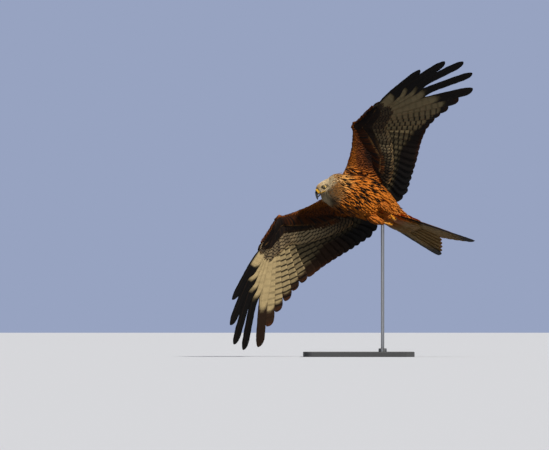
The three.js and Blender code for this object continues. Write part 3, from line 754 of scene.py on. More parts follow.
@dataclass(frozen=True)
class TierShape:
    """Number and size of the coverts in a row, with lengths in millimetres.

    Attributes:
        count: Number of coverts.
        reach: Shares of the flight feathers covered at the wing's tip, at the wrist and on the arm.
        inward: How far the roots lie inside those of the flight feathers.
        heights: Height of roots and tips over the flight feathers' middle.
        lead: Width of the leading vane.
        trail: Width of the trailing vane.
    """

    count: int
    reach: Triple
    inward: float
    heights: Pair
    lead: float
    trail: float


TIERS = {
    Tier.GREATER: TierShape(34, (0.16, 0.4, 0.5), 16.0, (3.0, 6.0), 12.0, 17.0),
    Tier.MEDIAN: TierShape(46, (0.09, 0.21, 0.25), 22.0, (4.6, 7.6), 10.0, 13.0),
    Tier.LESSER: TierShape(60, (0.04, 0.1, 0.13), 26.0, (6.0, 9.0), 8.0, 10.0),
}


class Wing:
    """One wing: its skin forms, flight feathers and rows of coverts."""

    SEED = 100
    COVERT_SEED = 500
    ROUNDING = 0.022
    WINDOW_END = (0.36, 0.43, 0.46, 0.52, 0.65, 0.82, 0.88, 0.88, 0.87, 0.86)

    def __init__(self, pose: WingPose) -> None:
        """Keeps the pose and works out the wing's frame."""
        self.pose = pose
        self.frame = WingFrame(pose)

    def flight_row(self) -> Row:
        """Flight feathers from the outermost primary to the innermost secondary."""
        pose, frame = self.pose, self.frame
        primaries = len(pose.reach)
        inner = np.arange(primaries) / (primaries - 1)
        out = (6.0 + (frame.bones.hand / MM - 12.0) * (1.0 - inner)) * MM
        fan = np.radians(pose.fan)
        reach = np.array(pose.reach) * MM
        roots = [frame.on_hand(out, np.full(primaries, 6.0 * MM), np.zeros(primaries))]
        tips = [frame.on_hand(reach * np.cos(fan), reach * np.sin(fan), np.array(pose.lift) * MM)]
        count = len(pose.edge_lift)
        share = np.arange(count) / (count - 1)
        inward = mix(pose.edge[0], pose.edge[1], share) * MM
        root_in = mix(8.0 * MM, frame.elbow_in + 46.0 * MM, share)
        root_back = frame.elbow_back * np.minimum(1.0, root_in / frame.elbow_in) * 0.94 + 4.0 * MM
        shorter = pose.trim * (1.0 - smooth(0.0, 0.5, share)) + np.where(share > 0.95, 12.0, 0.0)
        back = 0.29 - 0.36 * inward - shorter * MM
        roots.append(frame.on_arm(root_in, root_back, np.zeros(count)))
        tips.append(frame.on_arm(inward, back, np.array(pose.edge_lift) * MM))
        return row_between(np.concatenate(roots), np.concatenate(tips), frame.arm_up)

    def stack(self) -> Array:
        """Height of each quill over the row's middle surface."""
        primaries = len(self.pose.reach)
        inner = np.arange(primaries) / (primaries - 1)
        heights = mix(3.8, -3.0, (1.0 - inner) ** 1.9)
        return np.concatenate([heights, np.full(len(self.pose.edge_lift), 3.8)]) * MM

    @staticmethod
    def closing(beyond: Array) -> Array:
        """Share of a core's thickness at distances beyond the wrist, where its end is rounded."""
        return np.sqrt(np.maximum(0.06, 1.0 - np.clip(beyond / Wing.ROUNDING, 0.0, 1.0) ** 2))

    def arm_section(self, inward: Array, inset: float) -> Section:
        """Rings of the arm's fleshy core at distances inwards from the wrist."""
        frame, pose = self.frame, self.pose
        share = np.clip(inward / frame.length, 0.0, 1.0)
        end = self.closing(-inward)
        front = (pose.front - pose.web * share**2.5) * MM
        bone = frame.elbow_back * np.clip(inward / frame.elbow_in, 0.0, 1.0)
        back = bone + mix(22.0, 18.0, share) * MM
        wide = (back - front) / 2.0 * end
        thick = mix(15.0, 34.0, share) / 2.0 * MM * end
        centre = frame.on_arm(inward, (front + back) / 2.0, np.zeros_like(inward))
        reach = np.maximum(thick - inset, 0.002)
        return Section(centre, -frame.arm_back, frame.arm_up, wide - inset, reach, reach)

    def hand_section(self, out: Array, inset: float) -> Section:
        """Rings of the hand's fleshy core at distances outwards from the wrist."""
        frame = self.frame
        share = np.clip(out / frame.bones.hand, 0.0, 1.0)
        end = self.closing(-out)
        front = mix(-3.0, -15.0, share) * MM
        back = mix(24.0, 10.0, share) * MM
        wide = (back - front) / 2.0 * end
        thick = mix(15.0, 9.0, share) / 2.0 * MM * end
        centre = frame.on_hand(out, (front + back) / 2.0, np.zeros_like(out))
        reach = np.maximum(thick - inset, 0.0016)
        return Section(centre, -frame.hand_back, frame.hand_up, wide - inset, reach, reach)

    def shape_of(self, index: int) -> VaneShape:
        """Outline of a flight feather by its number from the outermost primary."""
        if index == 0:
            return VaneShape(lead=9.0, bow=0.034, fingers=(0.46, 0.62))
        if index < 5:
            return VaneShape(fingers=(0.46, 0.62), narrow=(0.95, 0.85) if index == 4 else (0.9, 0.6))
        if index < len(self.pose.reach):
            return VaneShape(blunt=2.4)
        return VaneShape(lead=14.0, tip=26.0, arch=0.02, bow=0.03, steps=30, blunt=2.4)

    def bar_count(self, index: int) -> float:
        """Number of dark bars along a flight feather."""
        return float(np.interp(index, (0.0, 5.0, 9.0, 21.0), (17.0, 16.0, 14.0, 11.0)))

    def flight_marks(self, index: int, marks: Marks) -> Marks:
        """Colour, bars and shaft streak at each point of a flight feather.

        Args:
            index: Its number from the outermost primary.
            marks: Its `along`, `across` and `under` values.

        Returns:
            The marks with `tint`, `bars`, `phase` and `streak` added.
        """
        along, across, under = marks["along"], marks["across"], marks["under"]
        primaries = len(self.pose.reach)
        reach = np.maximum(0.0, across)
        if index < primaries:
            end = self.WINDOW_END[index] + 0.02 - 0.14 * np.maximum(0.0, np.abs(across - 0.2) - 0.15) ** 2
            window = 1.0 - smooth(end - 0.015, end + 0.02, along)
            dark_vane = smooth(-0.4, 0.05, across) if index < 3 else mix(0.7, 1.0, smooth(-0.9, 0.1, across))
            window = window * dark_vane
            inner = smooth(4.0, 7.0, index)
            bars = mix(0.12 * window * smooth(0.1, 0.3, along), 0.9 * smooth(0.15, 0.3, along), inner)
            tone = mix(1.0, mix(0.95, 0.66, (index - 5) / 4.0), inner)
            window = window * tone
        else:
            share = (index - primaries) / (len(self.pose.edge_lift) - 1.0)
            end = mix(0.82, 0.66, smooth(0.0, 0.4, share))
            window = (1.0 - smooth(end - 0.04, end + 0.03, along)) * mix(0.55, 0.12, smooth(0.0, 0.6, share))
            bars = 0.9 * (1.0 - smooth(end, end + 0.05, along))
        # Inner primaries and outer secondaries are sepia rather than black below, but they stay blacker on a
        # wing with painted shade.
        sepia_and_painted_shade = smooth(3.4, 4.4, index) * (1.0 - smooth(13.0, 18.0, index)) * (1.0 - self.pose.sepia_and_painted_shade)
        below = blend(blend("black", "sepia", 0.8 * sepia_and_painted_shade), "cream", window)
        tip = smooth(0.93, 0.99, along) * float(index >= 5)
        # Chestnut tips, weaker under the painted shade.
        warm = 0.5 * (1.0 - 0.6 * self.pose.sepia_and_painted_shade) * (1.0 - smooth(12.0, 17.0, index))
        below = blend(below, "chestnut", warm * tip * (0.4 + 0.6 * reach))
        above = blend("black", "sepia", 1.0 - smooth(0.3, 0.7, along))
        phase = along * self.bar_count(index) + 0.13 * index
        return marked(marks, blend(above, below, under), bars * mix(0.35, 1.0, under), phase, 0.5)

    def flight(self) -> Piece:
        """All flight feathers of the wing as one piece."""
        row = self.flight_row()
        row = replace(row, root=row.root + row.up * self.stack()[:, None])
        feathers = FeatherSet()
        for index in range(len(row)):
            points, faces, marks = build_vane(row, index, self.shape_of(index), self.SEED + index)
            feathers.add(points, faces, self.flight_marks(index, marks))
        return feathers.piece(f"wing_{self.pose.name}_flight_feathers")

    def covert_row(self, face: int, places: Array, reach: Array, inward: Array, heights: Pair) -> Row:
        """Row of coverts over or under the flight feathers.

        Args:
            face: 1 for the upper side and -1 for the lower side.
            places: Places of the coverts along the flight feathers.
            reach: Share of the flight feather that each covert reaches.
            inward: How far the roots lie inside those of the flight feathers, in millimetres.
            heights: Height of roots and tips over the flight feathers' middle, in millimetres.

        Returns:
            The row.
        """
        base = self.flight_row().at(places)
        reach = reach[:, None]
        tip = mix(base.root, base.tip, reach) + base.up * (face * heights[1] * MM)
        root = base.root - base.shaft * (inward[:, None] * MM) + base.up * (face * heights[0] * MM)
        return Row(root, tip, base.up, base.root_side, base.tip_side)

    def coverts(self) -> Piece:
        """Greater, median and lower lesser coverts of both sides as one piece."""
        feathers = FeatherSet()
        seed = self.COVERT_SEED
        last = len(self.pose.reach) + len(self.pose.edge_lift) - 1.0
        for face in (-1, 1):
            for tier, form in TIERS.items():
                places = np.linspace(0.0, last, form.count)
                reach = mix(form.reach[0], form.reach[1], smooth(0.0, 9.0, places))
                reach = mix(reach, form.reach[2], smooth(8.5, 12.0, places))
                inward = form.inward * mix(0.15, 1.0, smooth(9.5, 15.0, places))
                row = self.covert_row(face, places, reach, inward, form.heights)
                wide = {"lead": form.lead, "trail": form.trail, "tip": 24.0, "arch": 0.0, "bow": 0.02}
                shape = VaneShape(**wide, steps=12, ribs=2, shaft=1.4)
                for index in range(form.count):
                    seed += 1
                    points, faces, marks = build_vane(row, index, shape, seed)
                    feathers.add(points, faces, self.covert_marks(tier, face, places[index], seed, marks))
        return feathers.piece(f"wing_{self.pose.name}_coverts")

    def covert_marks(self, tier: Tier, face: int, place: float, seed: int, marks: Marks) -> Marks:
        """Colour, bars and streak of a covert by its tier, side and place along the wing."""
        rng = np.random.default_rng(seed)
        along = marks["along"]
        hand = 1.0 - smooth(9.0, 11.0, place)
        draw = rng.random()
        bars, streak = 0.0, 0.8
        if face < 0 and tier is Tier.GREATER:
            arm_tint = blend("brick", "slate", 0.55 * smooth(13.0, 17.0, place))
            arm_tint = blend(arm_tint, "sepia", 0.8 * smooth(16.0, 20.0, place))
            # Painted shade: the arm's greater coverts darken towards black on a wing painted as if in shade.
            arm_tint = blend(arm_tint, "black", self.pose.sepia_and_painted_shade * mix(0.4, 1.0, draw))
            base = blend(arm_tint, "slate", hand * mix(0.6, 1.0, draw))
            bars, streak = 0.95, 0.5
        elif face < 0 and tier is Tier.MEDIAN:
            base = blend("black", "sepia", 0.35 * draw)
            base = blend(base, "rufous", 0.4 * smooth(15.0, 19.0, place) * draw)
            bars = 0.2
        elif face < 0:
            base = blend("rufous", "black", 0.82 + 0.18 * draw)
            base = blend(base, "black", 0.9 * hand)
        elif tier is Tier.GREATER:
            base = blend("sepia", "slate", 0.3 * draw)
            bars = 0.2
        elif tier is Tier.MEDIAN:
            base = blend("sepia", "buff", (0.5 + 0.3 * draw) * smooth(9.0, 12.0, place))
        else:
            base = blend("sepia", "chestnut", 0.4 + 0.4 * draw)
        fringe = smooth(0.86, 0.98, along) * mix(0.1, 0.5, rng.random())
        tint = blend(base, "buff", fringe * (0.3 if tier is Tier.MEDIAN else 0.8))
        return marked(marks, tint, bars, along * 9.0 + 0.5 * rng.random() + 0.17 * place, streak)


@dataclass(frozen=True)
class Tail:
    """Forked tail of twelve feathers, the outer ones under the inner ones, in millimetres."""

    root: Triple = (-121.6, 0.0, 8.0)
    back: Triple = (-0.99, 0.11, 0.078)
    left: Triple = (-0.01, 0.68, -0.74)
    outer: float = 328.0
    inner: float = 243.0
    fan: float = 13.1
    pairs: int = 6
    step: float = 1.4
    spread: float = 34.0
    seed: int = 300
    covert_seed: int = 400
    coverts: int = 6
    covert_reach: Pair = (132.0, 98.0)

    def up(self) -> Array:
        """Direction of the tail's upper side."""
        return unit(np.cross(np.array(self.left), np.array(self.back)))

    def row(self, side: int, shares: Array, lengths: Array, drops: Array) -> Row:
        """Feathers of one half of the tail.

        Args:
            side: 1 for the bird's left half and -1 for its right half.
            shares: Place of each feather from the middle, at 0, to the edge, at 1.
            lengths: Length of each feather in millimetres.
            drops: How far each lies under the tail's middle plane in millimetres.

        Returns:
            The row from the middle outwards.
        """
        fan = np.radians(self.fan * shares)[:, None]
        across = side * unit(np.array(self.left))
        back = unit(np.array(self.back))
        shaft = unit(back * np.cos(fan) + across * np.sin(fan))
        up = self.up()
        root = np.array(self.root) + self.spread * shares[:, None] * across - drops[:, None] * up
        inward = -across - dot(-across * np.ones_like(shaft), shaft) * shaft
        tip = root + shaft * lengths[:, None]
        side_dir = unit(inward)
        return Row(root * MM, tip * MM, np.ones_like(shaft) * up, side_dir, side_dir)

    def feathers(self) -> Piece:
        """Tail feathers with their upper and lower coverts as one piece."""
        made = FeatherSet()
        flat = {"tilt": 0.0, "arch": 0.0, "camber": 0.3}
        shape = VaneShape(**flat, lead=15.0, trail=27.0, tip=34.0, bow=0.02, steps=36, blunt=2.4)
        edge = replace(shape, lead=7.0, bow=0.008)
        covert = VaneShape(**flat, lead=12.0, trail=15.0, tip=30.0, bow=0.0, steps=14, ribs=2, shaft=1.4)
        pairs = np.arange(self.pairs)
        for hand, side in enumerate(SIDES):
            shares = (pairs + 0.5) / (self.pairs - 0.5)
            lengths = mix(self.inner, self.outer, pairs / (self.pairs - 1.0))
            drops = self.step * (2.0 * pairs + hand - self.pairs)
            row = self.row(side, shares, lengths, drops)
            for pair in pairs:
                form = edge if pair == self.pairs - 1 else shape
                points, faces, marks = build_vane(row, pair, form, self.seed + 10 * hand + pair)
                made.add(points, faces, self.marks(pair, marks))
            for tier, reach in enumerate(self.covert_reach):
                count = self.coverts
                places = (np.arange(count) + 0.5) / count
                depth = self.step * (self.pairs + 1.5 + 2.0 * tier + 0.4 * np.arange(count) + 0.2 * hand)
                for face in (1, -1):
                    fan = 0.85 if face > 0 else 0.6
                    row = self.row(side, places * fan, np.full(count, reach) - 8.0 * places, face * depth)
                    for index in range(count):
                        seed = self.covert_seed + 100 * hand + 20 * tier + 10 * (face > 0) + index
                        points, faces, marks = build_vane(row, index, covert, seed)
                        made.add(points, faces, self.covert_marks(face, seed, marks))
        return made.piece("tail_feathers")

    def marks(self, pair: int, marks: Marks) -> Marks:
        """Colour, bars and streak of a tail feather, counted from the middle."""
        along, across, under = marks["along"], marks["across"], marks["under"]
        outer = pair / (self.pairs - 1.0)
        below = blend("tail_buff", "buff", 0.35 * (1.0 - outer))
        corner = smooth(0.62, 0.92, along) * smooth(0.7, 1.0, outer)
        fringe = smooth(0.95, 1.0, along) * (1.0 - smooth(0.5, 1.0, outer))
        below = blend(below, "orange", 0.7 * fringe)
        edge = smooth(0.4, 0.0, across) * float(pair == self.pairs - 1)
        dark = np.maximum(corner, edge)
        tint = blend(blend("tail_upper", below, under), "black", dark * mix(0.8, 1.0, under))
        return marked(marks, tint, 0.16 * smooth(0.2, 0.4, along), along * 13.0, 0.3)

    def covert_marks(self, face: int, seed: int, marks: Marks) -> Marks:
        """Colour and streak of a tail covert under (1) or over (-1) the tail."""
        rng = np.random.default_rng(seed)
        name = "orange" if face > 0 else "tail_upper"
        tint = blend(name, "rufous", 0.3 + 0.6 * rng.random())
        along = marks["along"]
        tint = blend(tint, "tail_buff", 0.85 * float(face > 0) * smooth(0.3, 0.9, along))
        return marked(marks, tint * mix(0.8, 1.1, rng.random()), 0.0, along, 0.5)


@dataclass(frozen=True)
class Head(Axes):
    """Skull in its own frame: rings of x, z of the centre, half width, rise and drop, in millimetres."""

    place: Triple = (156.3, -32.6, -10.0)
    forward: Triple = (0.47, -0.878, -0.095)
    left: Triple = (0.427, 0.32, -0.846)
    rings: Table = (
        (-78, -2, 10, 14, 12),
        (-64, -1.5, 17.5, 18, 19),
        (-50, -1, 22, 19, 23),
        (-38, -1.5, 24.5, 21.8, 24.5),
        (-24, -2, 25.2, 23.4, 25.5),
        (-10, -2, 24, 25, 25.5),
        (4, -2, 20.2, 24.2, 25),
        (14, -1, 16.8, 22.4, 22),
        (20, -0.5, 14.2, 20.6, 19.5),
        (24, -0.5, 12.2, 17.5, 17),
    )

    def out(self, points: Array) -> Array:
        """Points of the head's frame in millimetres, moved to the bird frame in metres."""
        return (np.asarray(points, float) @ self.axes() + np.array(self.place)) * MM

    def inside(self, points: Array) -> Array:
        """Points of the bird frame in metres, moved to the head's frame in millimetres."""
        return (np.asarray(points, float) / MM - np.array(self.place)) @ self.axes().T

    def section(self, place: Array, inset: float) -> Section:
        """Rings at shares of the way from the nape to the bill."""
        table = np.array(self.rings, float)
        rows = curve_at(table, np.asarray(place, float) * (len(table) - 1))
        centre = np.stack([rows[:, 0], np.zeros(len(rows)), rows[:, 1]], axis=-1)
        axes = self.axes()
        reach = np.maximum(rows[:, 2:] * MM - inset, 0.002)
        return Section(self.out(centre), axes[1], axes[2], reach[:, 0], reach[:, 1], reach[:, 2])


HEAD = Head()


@dataclass(frozen=True)
class Thigh:
    """Rings of the left feathered leg: x, y, z of the centre and radius in millimetres."""

    rings: Table = (
        (-42, 31, -34, 15),
        (-62, 28, -40, 20),
        (-84, 24.5, -42, 16.5),
        (-102, 21, -42, 9.5),
    )

    def section(self, place: Array, side: int, inset: float) -> Section:
        """Rings at shares of the way from the hip to the heel."""
        table = np.array(self.rings, float)
        table[:, 1] *= side
        at = np.asarray(place, float) * (len(table) - 1)
        rows = curve_at(table, at)
        tangent = unit(curve_at(table[:, :3], at + 0.05) - curve_at(table[:, :3], at - 0.05))
        across = np.array([0.0, 1.0, 0.2])
        across = unit(across - dot(across, tangent) * tangent)
        radius = np.maximum(rows[:, 3] * MM - inset, 0.002)
        return Section(rows[:, :3] * MM, across, np.cross(tangent, across), radius, radius, radius)


class Skin:
    """The one closed skin of trunk, head, fleshy wings and thighs, inside the solids by the coat's depth."""

    INSET = 0.004
    VOXEL = 0.0022
    PASSES = 4
    PAST_WRIST = 0.012

    def __init__(self, wings: list[Wing]) -> None:
        """Keeps the wings whose cores the skin covers."""
        self.wings = wings

    def tube(self, name: str, section: Section, rounded: float = 1.0) -> Piece:
        """Closed tube through a section's rings.

        Args:
            name: Name of the tube.
            section: The rings.
            rounded: Share of the thickness kept at the fore and hind edge, 1 for a plain ellipse.

        Returns:
            The tube in the part frame.
        """
        around = 48
        angles = np.arange(around) / around * 2.0 * math.pi
        rings = len(section.centre)
        points = np.zeros((rings, around, 3))
        for step, angle in enumerate(angles):
            waist = mix(rounded, 1.0, (math.sin(angle) + 1.0) / 2.0)
            rise = math.cos(angle)
            tall = (section.above if rise > 0.0 else section.below) * rise * waist
            across = math.sin(angle) * section.wide
            points[:, step] = section.centre + across[:, None] * section.side + tall[:, None] * section.up
        return Make.tube(name, ATTITUDE.place(points), rings, around)

    def bulge(self, name: str, at: Numbers, reach: Numbers, slope: float) -> Piece:
        """Rounded form on the head, in the head's millimetres.

        Args:
            name: Name of the form.
            at: Its centre.
            reach: Its half lengths forwards, sideways and upwards.
            slope: How far its front tips down, in degrees.

        Returns:
            The form in the part frame.
        """
        turn = math.radians(slope)
        angles = np.linspace(0.06, math.pi - 0.06, 14)
        ahead = np.array([math.cos(turn), 0.0, -math.sin(turn)])
        centre = np.array(at) + np.cos(angles)[:, None] * reach[0] * ahead
        axes = HEAD.axes()
        up = axes[2] * math.cos(turn) + axes[0] * math.sin(turn)
        wide, tall = (np.sin(angles) * each * MM for each in reach[1:])
        return self.tube(name, Section(HEAD.out(centre), axes[1], up, wide, tall, tall))

    def build(self) -> Piece:
        """The remeshed and smoothed skin."""
        inset = self.INSET
        parts = [
            self.tube("trunk", TRUNK.section(np.linspace(0.0, 1.0, 90), inset)),
            self.tube("skull", HEAD.section(np.linspace(0.0, 1.0, 40), inset * 0.4)),
            self.bulge("forehead", (20.0, 0.0, 9.0), (11.5, 6.6, 8.5), 25.0),
        ]
        for side, label in SIDES.items():
            parts.append(self.bulge(f"brow_{label}", (3.5, side * 15.6, 6.2), (9.5, 4.2, 3.2), 12.0))
        for wing in self.wings:
            frame = wing.frame
            inward = np.linspace(frame.length + wing.ROUNDING, -self.PAST_WRIST, 60)
            out = np.linspace(-self.PAST_WRIST, frame.bones.hand, 40)
            thin = inset * 0.4
            parts.append(self.tube(f"arm_{wing.pose.name}", wing.arm_section(inward, thin), 0.34))
            parts.append(self.tube(f"hand_{wing.pose.name}", wing.hand_section(out, thin), 0.4))
        for side in SIDES:
            parts.append(self.tube(f"thigh_{side}", Thigh().section(np.linspace(0.0, 1.0, 24), side, inset)))
        skin = Make.join("bird_skin", parts)
        Make.remesh(skin, self.VOXEL, self.PASSES)
        return Make.applied(skin)


@dataclass(frozen=True)
class CoatShape:
    """How the small feathers are made.

    Attributes:
        cover: How many feathers lie over each point of the skin.
        sink: Depth of the roots in the skin, in metres.
        raise_tip: Height of the tips over the skin, in metres.
        thick: Thickness of a feather as a share of its width.
        camber: How far a feather's edges bend down, as a share of its width.
        patch: Size of a feather's patch on the skin's unwrap.
        most: Most feathers in one piece.
        fill: Share of its length times its width that a feather covers.
        spacing: Distance of neighbours as a share of an even spread.
        tries: Roots drawn for each one wanted.
    """

    cover: float = 5.0
    sink: float = 0.0006
    raise_tip: float = 0.003
    thick: float = 0.03
    camber: float = 0.12
    patch: float = 0.003
    most: int = 3800
    fill: float = 0.75
    spacing: float = 0.74
    tries: float = 5.0


@dataclass
class Places:
    """Where the small feathers grow: one row for each feather, in the bird frame and in metres."""

    root: Array
    normal: Array
    uv: Array


class Region(Enum):
    """Parts of the coat that are pieces of their own."""

    HEAD = "head"
    BODY = "body"
    LEFT_WING = "wing_left"
    RIGHT_WING = "wing_right"


SLOTS = {
    Region.HEAD: "pale_plumage",
    Region.BODY: "rufous_plumage",
    Region.LEFT_WING: "wing_plumage",
    Region.RIGHT_WING: "wing_plumage",
}


@dataclass(frozen=True)
class Face:
    """Places on the head's left side, in the head's frame in millimetres.

    Attributes:
        eye: Centre of the eyeball.
        ball: Its radius.
        lid: Radius of the lids' outer edge.
        patch: Half length and height of the dark patch round the eye.
        gape: Line of the mouth's corner, from the bill backwards.
    """

    eye: Triple = (1.0, 15.8, -1.5)
    ball: float = 7.0
    lid: float = 7.0
    patch: Triple = (12.5, 1.0, 7.6)
    gape: tuple[Triple, ...] = (
        (27.0, 7.0, -13.2),
        (20.0, 10.4, -12.8),
        (13.0, 13.4, -13.0),
        (5.0, 16.2, -14.8),
    )


FACE = Face()


class Lie:
    """The lie, size, region and colours of the plumage at any point of the skin."""

    def __init__(self, wings: list[Wing]) -> None:
        """Keeps the wings' frames."""
        self.wings = wings

    def weights(self, points: Array) -> Marks:
        """How much each point belongs to the head, to a wing, to its hand and to a thigh.

        Args:
            points: Points in the bird frame.

        Returns:
            Shares from 0 to 1 by the region's name, and the wing's own coordinates.
        """
        head = HEAD.inside(points)
        near = np.linalg.norm(head, axis=1)
        found = {"head": smooth(-60.0, -34.0, head[:, 0]) * (1.0 - smooth(62.0, 78.0, near)), "head_at": head}
        wing = np.zeros(len(points))
        hand = np.zeros(len(points))
        chord = np.zeros(len(points))
        for each in self.wings:
            frame = each.frame
            outboard = each.pose.side * points[:, 1]
            share = smooth(0.066, 0.1, outboard + 0.25 * np.maximum(0.0, points[:, 0] - 0.05))
            beyond = (points - frame.wrist) @ frame.outward
            hand = np.where(outboard > 0.03, smooth(-0.012, 0.02, beyond), hand)
            wing = np.where(outboard > 0.0, share, wing)
            behind = (points - frame.wrist) @ frame.arm_back + 0.012
            hand_behind = (points - frame.wrist) @ frame.hand_back + 0.006 + 0.1 * np.maximum(0.0, beyond)
            chord = np.where(outboard > 0.0, mix(behind, hand_behind, smooth(-0.012, 0.02, beyond)), chord)
        found["wing"], found["hand"], found["chord"] = wing, hand, chord
        thigh = np.zeros(len(points))
        rings = np.array(Thigh().rings, float) * MM
        for side in SIDES:
            start, end = rings[0, :3] * (1, side, 1), rings[-1, :3] * (1, side, 1)
            axis = end - start
            along = np.clip((points - start) @ axis / (axis @ axis), 0.0, 1.0)
            gap = np.linalg.norm(points - start - along[:, None] * axis, axis=1)
            thigh = np.maximum(thigh, (1.0 - smooth(0.014, 0.03, gap)) * smooth(-0.028, -0.042, points[:, 2]))
        found["thigh"] = thigh
        return found

    def breast(self, points: Array) -> Array:
        """Share of each point in the streaked body, away from head and wings."""
        share = self.weights(points)
        return (1.0 - share["head"]) * (1.0 - share["wing"])

    def regions(self, points: Array) -> Array:
        """Number of the region in which each point of the bird frame lies."""
        share = self.weights(points)
        left = np.where(points[:, 1] > 0.0, 2, 3)
        return np.where(share["head"] > 0.5, 0, np.where(share["wing"] > 0.5, left, 1))

    def direction(self, points: Array, normals: Array) -> Array:
        """Direction in which the feathers lie, along the skin.

        Args:
            points: Points of the skin in the bird frame.
            normals: Outward directions there.

        Returns:
            Unit vectors.
        """
        share = self.weights(points)
        neck = smooth(0.06, 0.14, points[:, 0])[:, None]
        lie = np.array([-1.0, 0.0, 0.0]) + neck * np.array([0.0, 0.16, 0.04])
        for each in self.wings:
            frame = each.frame
            outboard = (each.pose.side * points[:, 1] > 0.0) * share["wing"]
            arm = unit(frame.arm_back * 0.93 - frame.inward * 0.3)
            hand = unit(frame.hand_back * 0.72 + frame.outward * 0.7)
            way = mix(arm, hand, share["hand"][:, None])
            lie = mix(lie, way, outboard[:, None])
        for side in SIDES:
            way = unit(np.array([-0.06, -0.011 * side, -0.012]))
            here = (side * points[:, 1] > 0.0) * share["thigh"]
            lie = mix(lie, way, here[:, None])
        axes = HEAD.axes()
        back = -axes[0] + 0.12 * np.sign(share["head_at"][:, 2:3]) * axes[2]
        lie = mix(lie, back, share["head"][:, None])
        return unit(lie - dot(lie, normals) * normals)

    def size(self, points: Array) -> tuple[Array, Array]:
        """Length and width of the feathers at points of the bird frame, in metres."""
        share = self.weights(points)
        x = points[:, 0]
        belly, neck = smooth(0.0, 0.09, x), smooth(0.1, 0.16, x)
        length = mix(mix(36.0, 33.0, belly), 19.0, neck)
        width = mix(mix(13.0, 11.0, belly), 6.0, neck)
        back = smooth(0.0, 0.03, points[:, 2]) * (1.0 - share["head"])
        width = width * mix(1.0, 1.25, back)
        edge = smooth(0.0, 0.05, share["chord"])
        wing_length, wing_width = mix(11.0, 19.0, edge), mix(6.0, 9.5, edge)
        knuckle = 4.0 * share["hand"] * (1.0 - share["hand"]) * (1.0 - smooth(0.004, 0.024, share["chord"]))
        wing_length = wing_length * mix(1.0, 0.45, knuckle)
        length = mix(length, wing_length, share["wing"])
        width = mix(width, wing_width, share["wing"])
        length, width = mix(length, 26.0, share["thigh"]), mix(width, 9.0, share["thigh"])
        face = share["head_at"][:, 0]
        head_length = mix(13.0, 6.5, smooth(-50.0, -5.0, face))
        head_length = mix(head_length, 3.6, smooth(5.0, 22.0, face))
        length = mix(length, head_length, share["head"])
        width = mix(width, head_length * 0.4, share["head"])
        clear = self.clearance(share["head_at"])
        beside = (share["head"] > 0.5) & (face > FACE.eye[0] - 2.0)
        length = np.where(beside, np.minimum(length, np.maximum(1.8, clear + 1.0)), length)
        return length * MM, width * MM

    @staticmethod
    def clearance(face: Array) -> Array:
        """Distance in millimetres from the eye's lids, for points of the head's frame."""
        gap = (face - np.array(FACE.eye)) * (1.0, 0.0, 1.0)
        return np.linalg.norm(gap, axis=1) - FACE.lid

    def bare(self, points: Array) -> Array:
        """Whether points of the bird frame lie on the eyes, cere or mouth corners, where no feather grows."""
        face = HEAD.inside(points)
        side = np.abs(face[:, 1])
        eye = (self.clearance(face) < 0.2) & (side > 8.0) & (np.abs(face[:, 0]) < 30.0)
        mouth = np.array(FACE.gape)
        height = np.interp(face[:, 0], mouth[::-1, 0], mouth[::-1, 2])
        gape = (np.abs(face[:, 2] - height) < 1.6) & (side > 3.0)
        gape = gape & (face[:, 0] > mouth[-1, 0]) & (face[:, 0] < 40.0)
        return (np.linalg.norm(face, axis=1) < 60.0) & (eye | gape | (face[:, 0] > 26.5))

    def tints(self, points: Array, normals: Array, seed: int, even: bool = False) -> Marks:
        """Colour and streak of the feathers that grow at points of the bird frame.

        Args:
            points: Roots.
            normals: Outward directions there.
            seed: Seed of the variation from feather to feather.
            even: Whether every point takes the middle of the variation.

        Returns:
            The `tint`, `streak` and `fringe` of each feather.
        """
        rng = np.random.default_rng(seed)
        share = self.weights(points)
        count = len(points)
        x, z = points[:, 0], points[:, 2]
        upper = smooth(-0.25, 0.45, normals[:, 2])
        draw = np.full((count, 4), 0.5) if even else rng.random((count, 4))
        body = blend("orange", "rufous", 0.3 * draw[:, 0])
        body = blend(body, "buff", 0.3 * smooth(-0.04, -0.1, x) * draw[:, 1])
        streak = (draw[:, 2] < mix(0.05, 0.27, smooth(-0.05, 0.04, x))) * 2.0
        neck = smooth(0.095, 0.135, x)
        body = blend(body, "neck", neck)
        streak = mix(streak, (draw[:, 2] < 0.4) * 1.6, neck)
        back = blend("chestnut", "rufous", draw[:, 0])
        body = blend(body, back, upper * (1.0 - neck * 0.6))
        streak = mix(streak, 1.0, upper)
        under_wing = blend("rufous", "chestnut", draw[:, 0])
        over_wing = blend("sepia", "chestnut", 0.7 * draw[:, 0])
        body = blend(body, blend(under_wing, over_wing, upper), share["wing"])
        streak = mix(streak, mix(0.7, 0.9, draw[:, 3]), share["wing"])
        rim = share["wing"] * (1.0 - share["hand"]) * (1.0 - smooth(0.002, 0.016, share["chord"]))
        body = blend(body, "orange", 0.85 * rim)
        carpal = share["wing"] * share["hand"] * smooth(0.004, 0.009, share["chord"]) * (1.0 - upper)
        body = blend(body, "black", carpal)
        median = share["wing"] * (1.0 - share["hand"]) * smooth(0.024, 0.046, share["chord"]) * (1.0 - upper)
        body = blend(body, "black", 0.9 * median * smooth(0.085, 0.125, np.abs(points[:, 1])))
        thigh = blend("orange", "rufous", 0.5 + 0.2 * draw[:, 1])
        body = blend(body, thigh, 0.8 * share["thigh"])
        streak = streak * (1.0 - 0.9 * share["thigh"])
        belly = smooth(-0.02, -0.06, x) * smooth(-0.01, -0.03, z)
        streak = streak * (1.0 - 0.85 * belly * (1.0 - share["wing"]))
        face = share["head_at"]
        pale = blend("pale_head", "neck", 0.3 * draw[:, 0])
        fore = smooth(4.0, 20.0, face[:, 0]) * smooth(2.0, 9.0, face[:, 2])
        pale = blend(pale, "buff", 0.55 * fore)
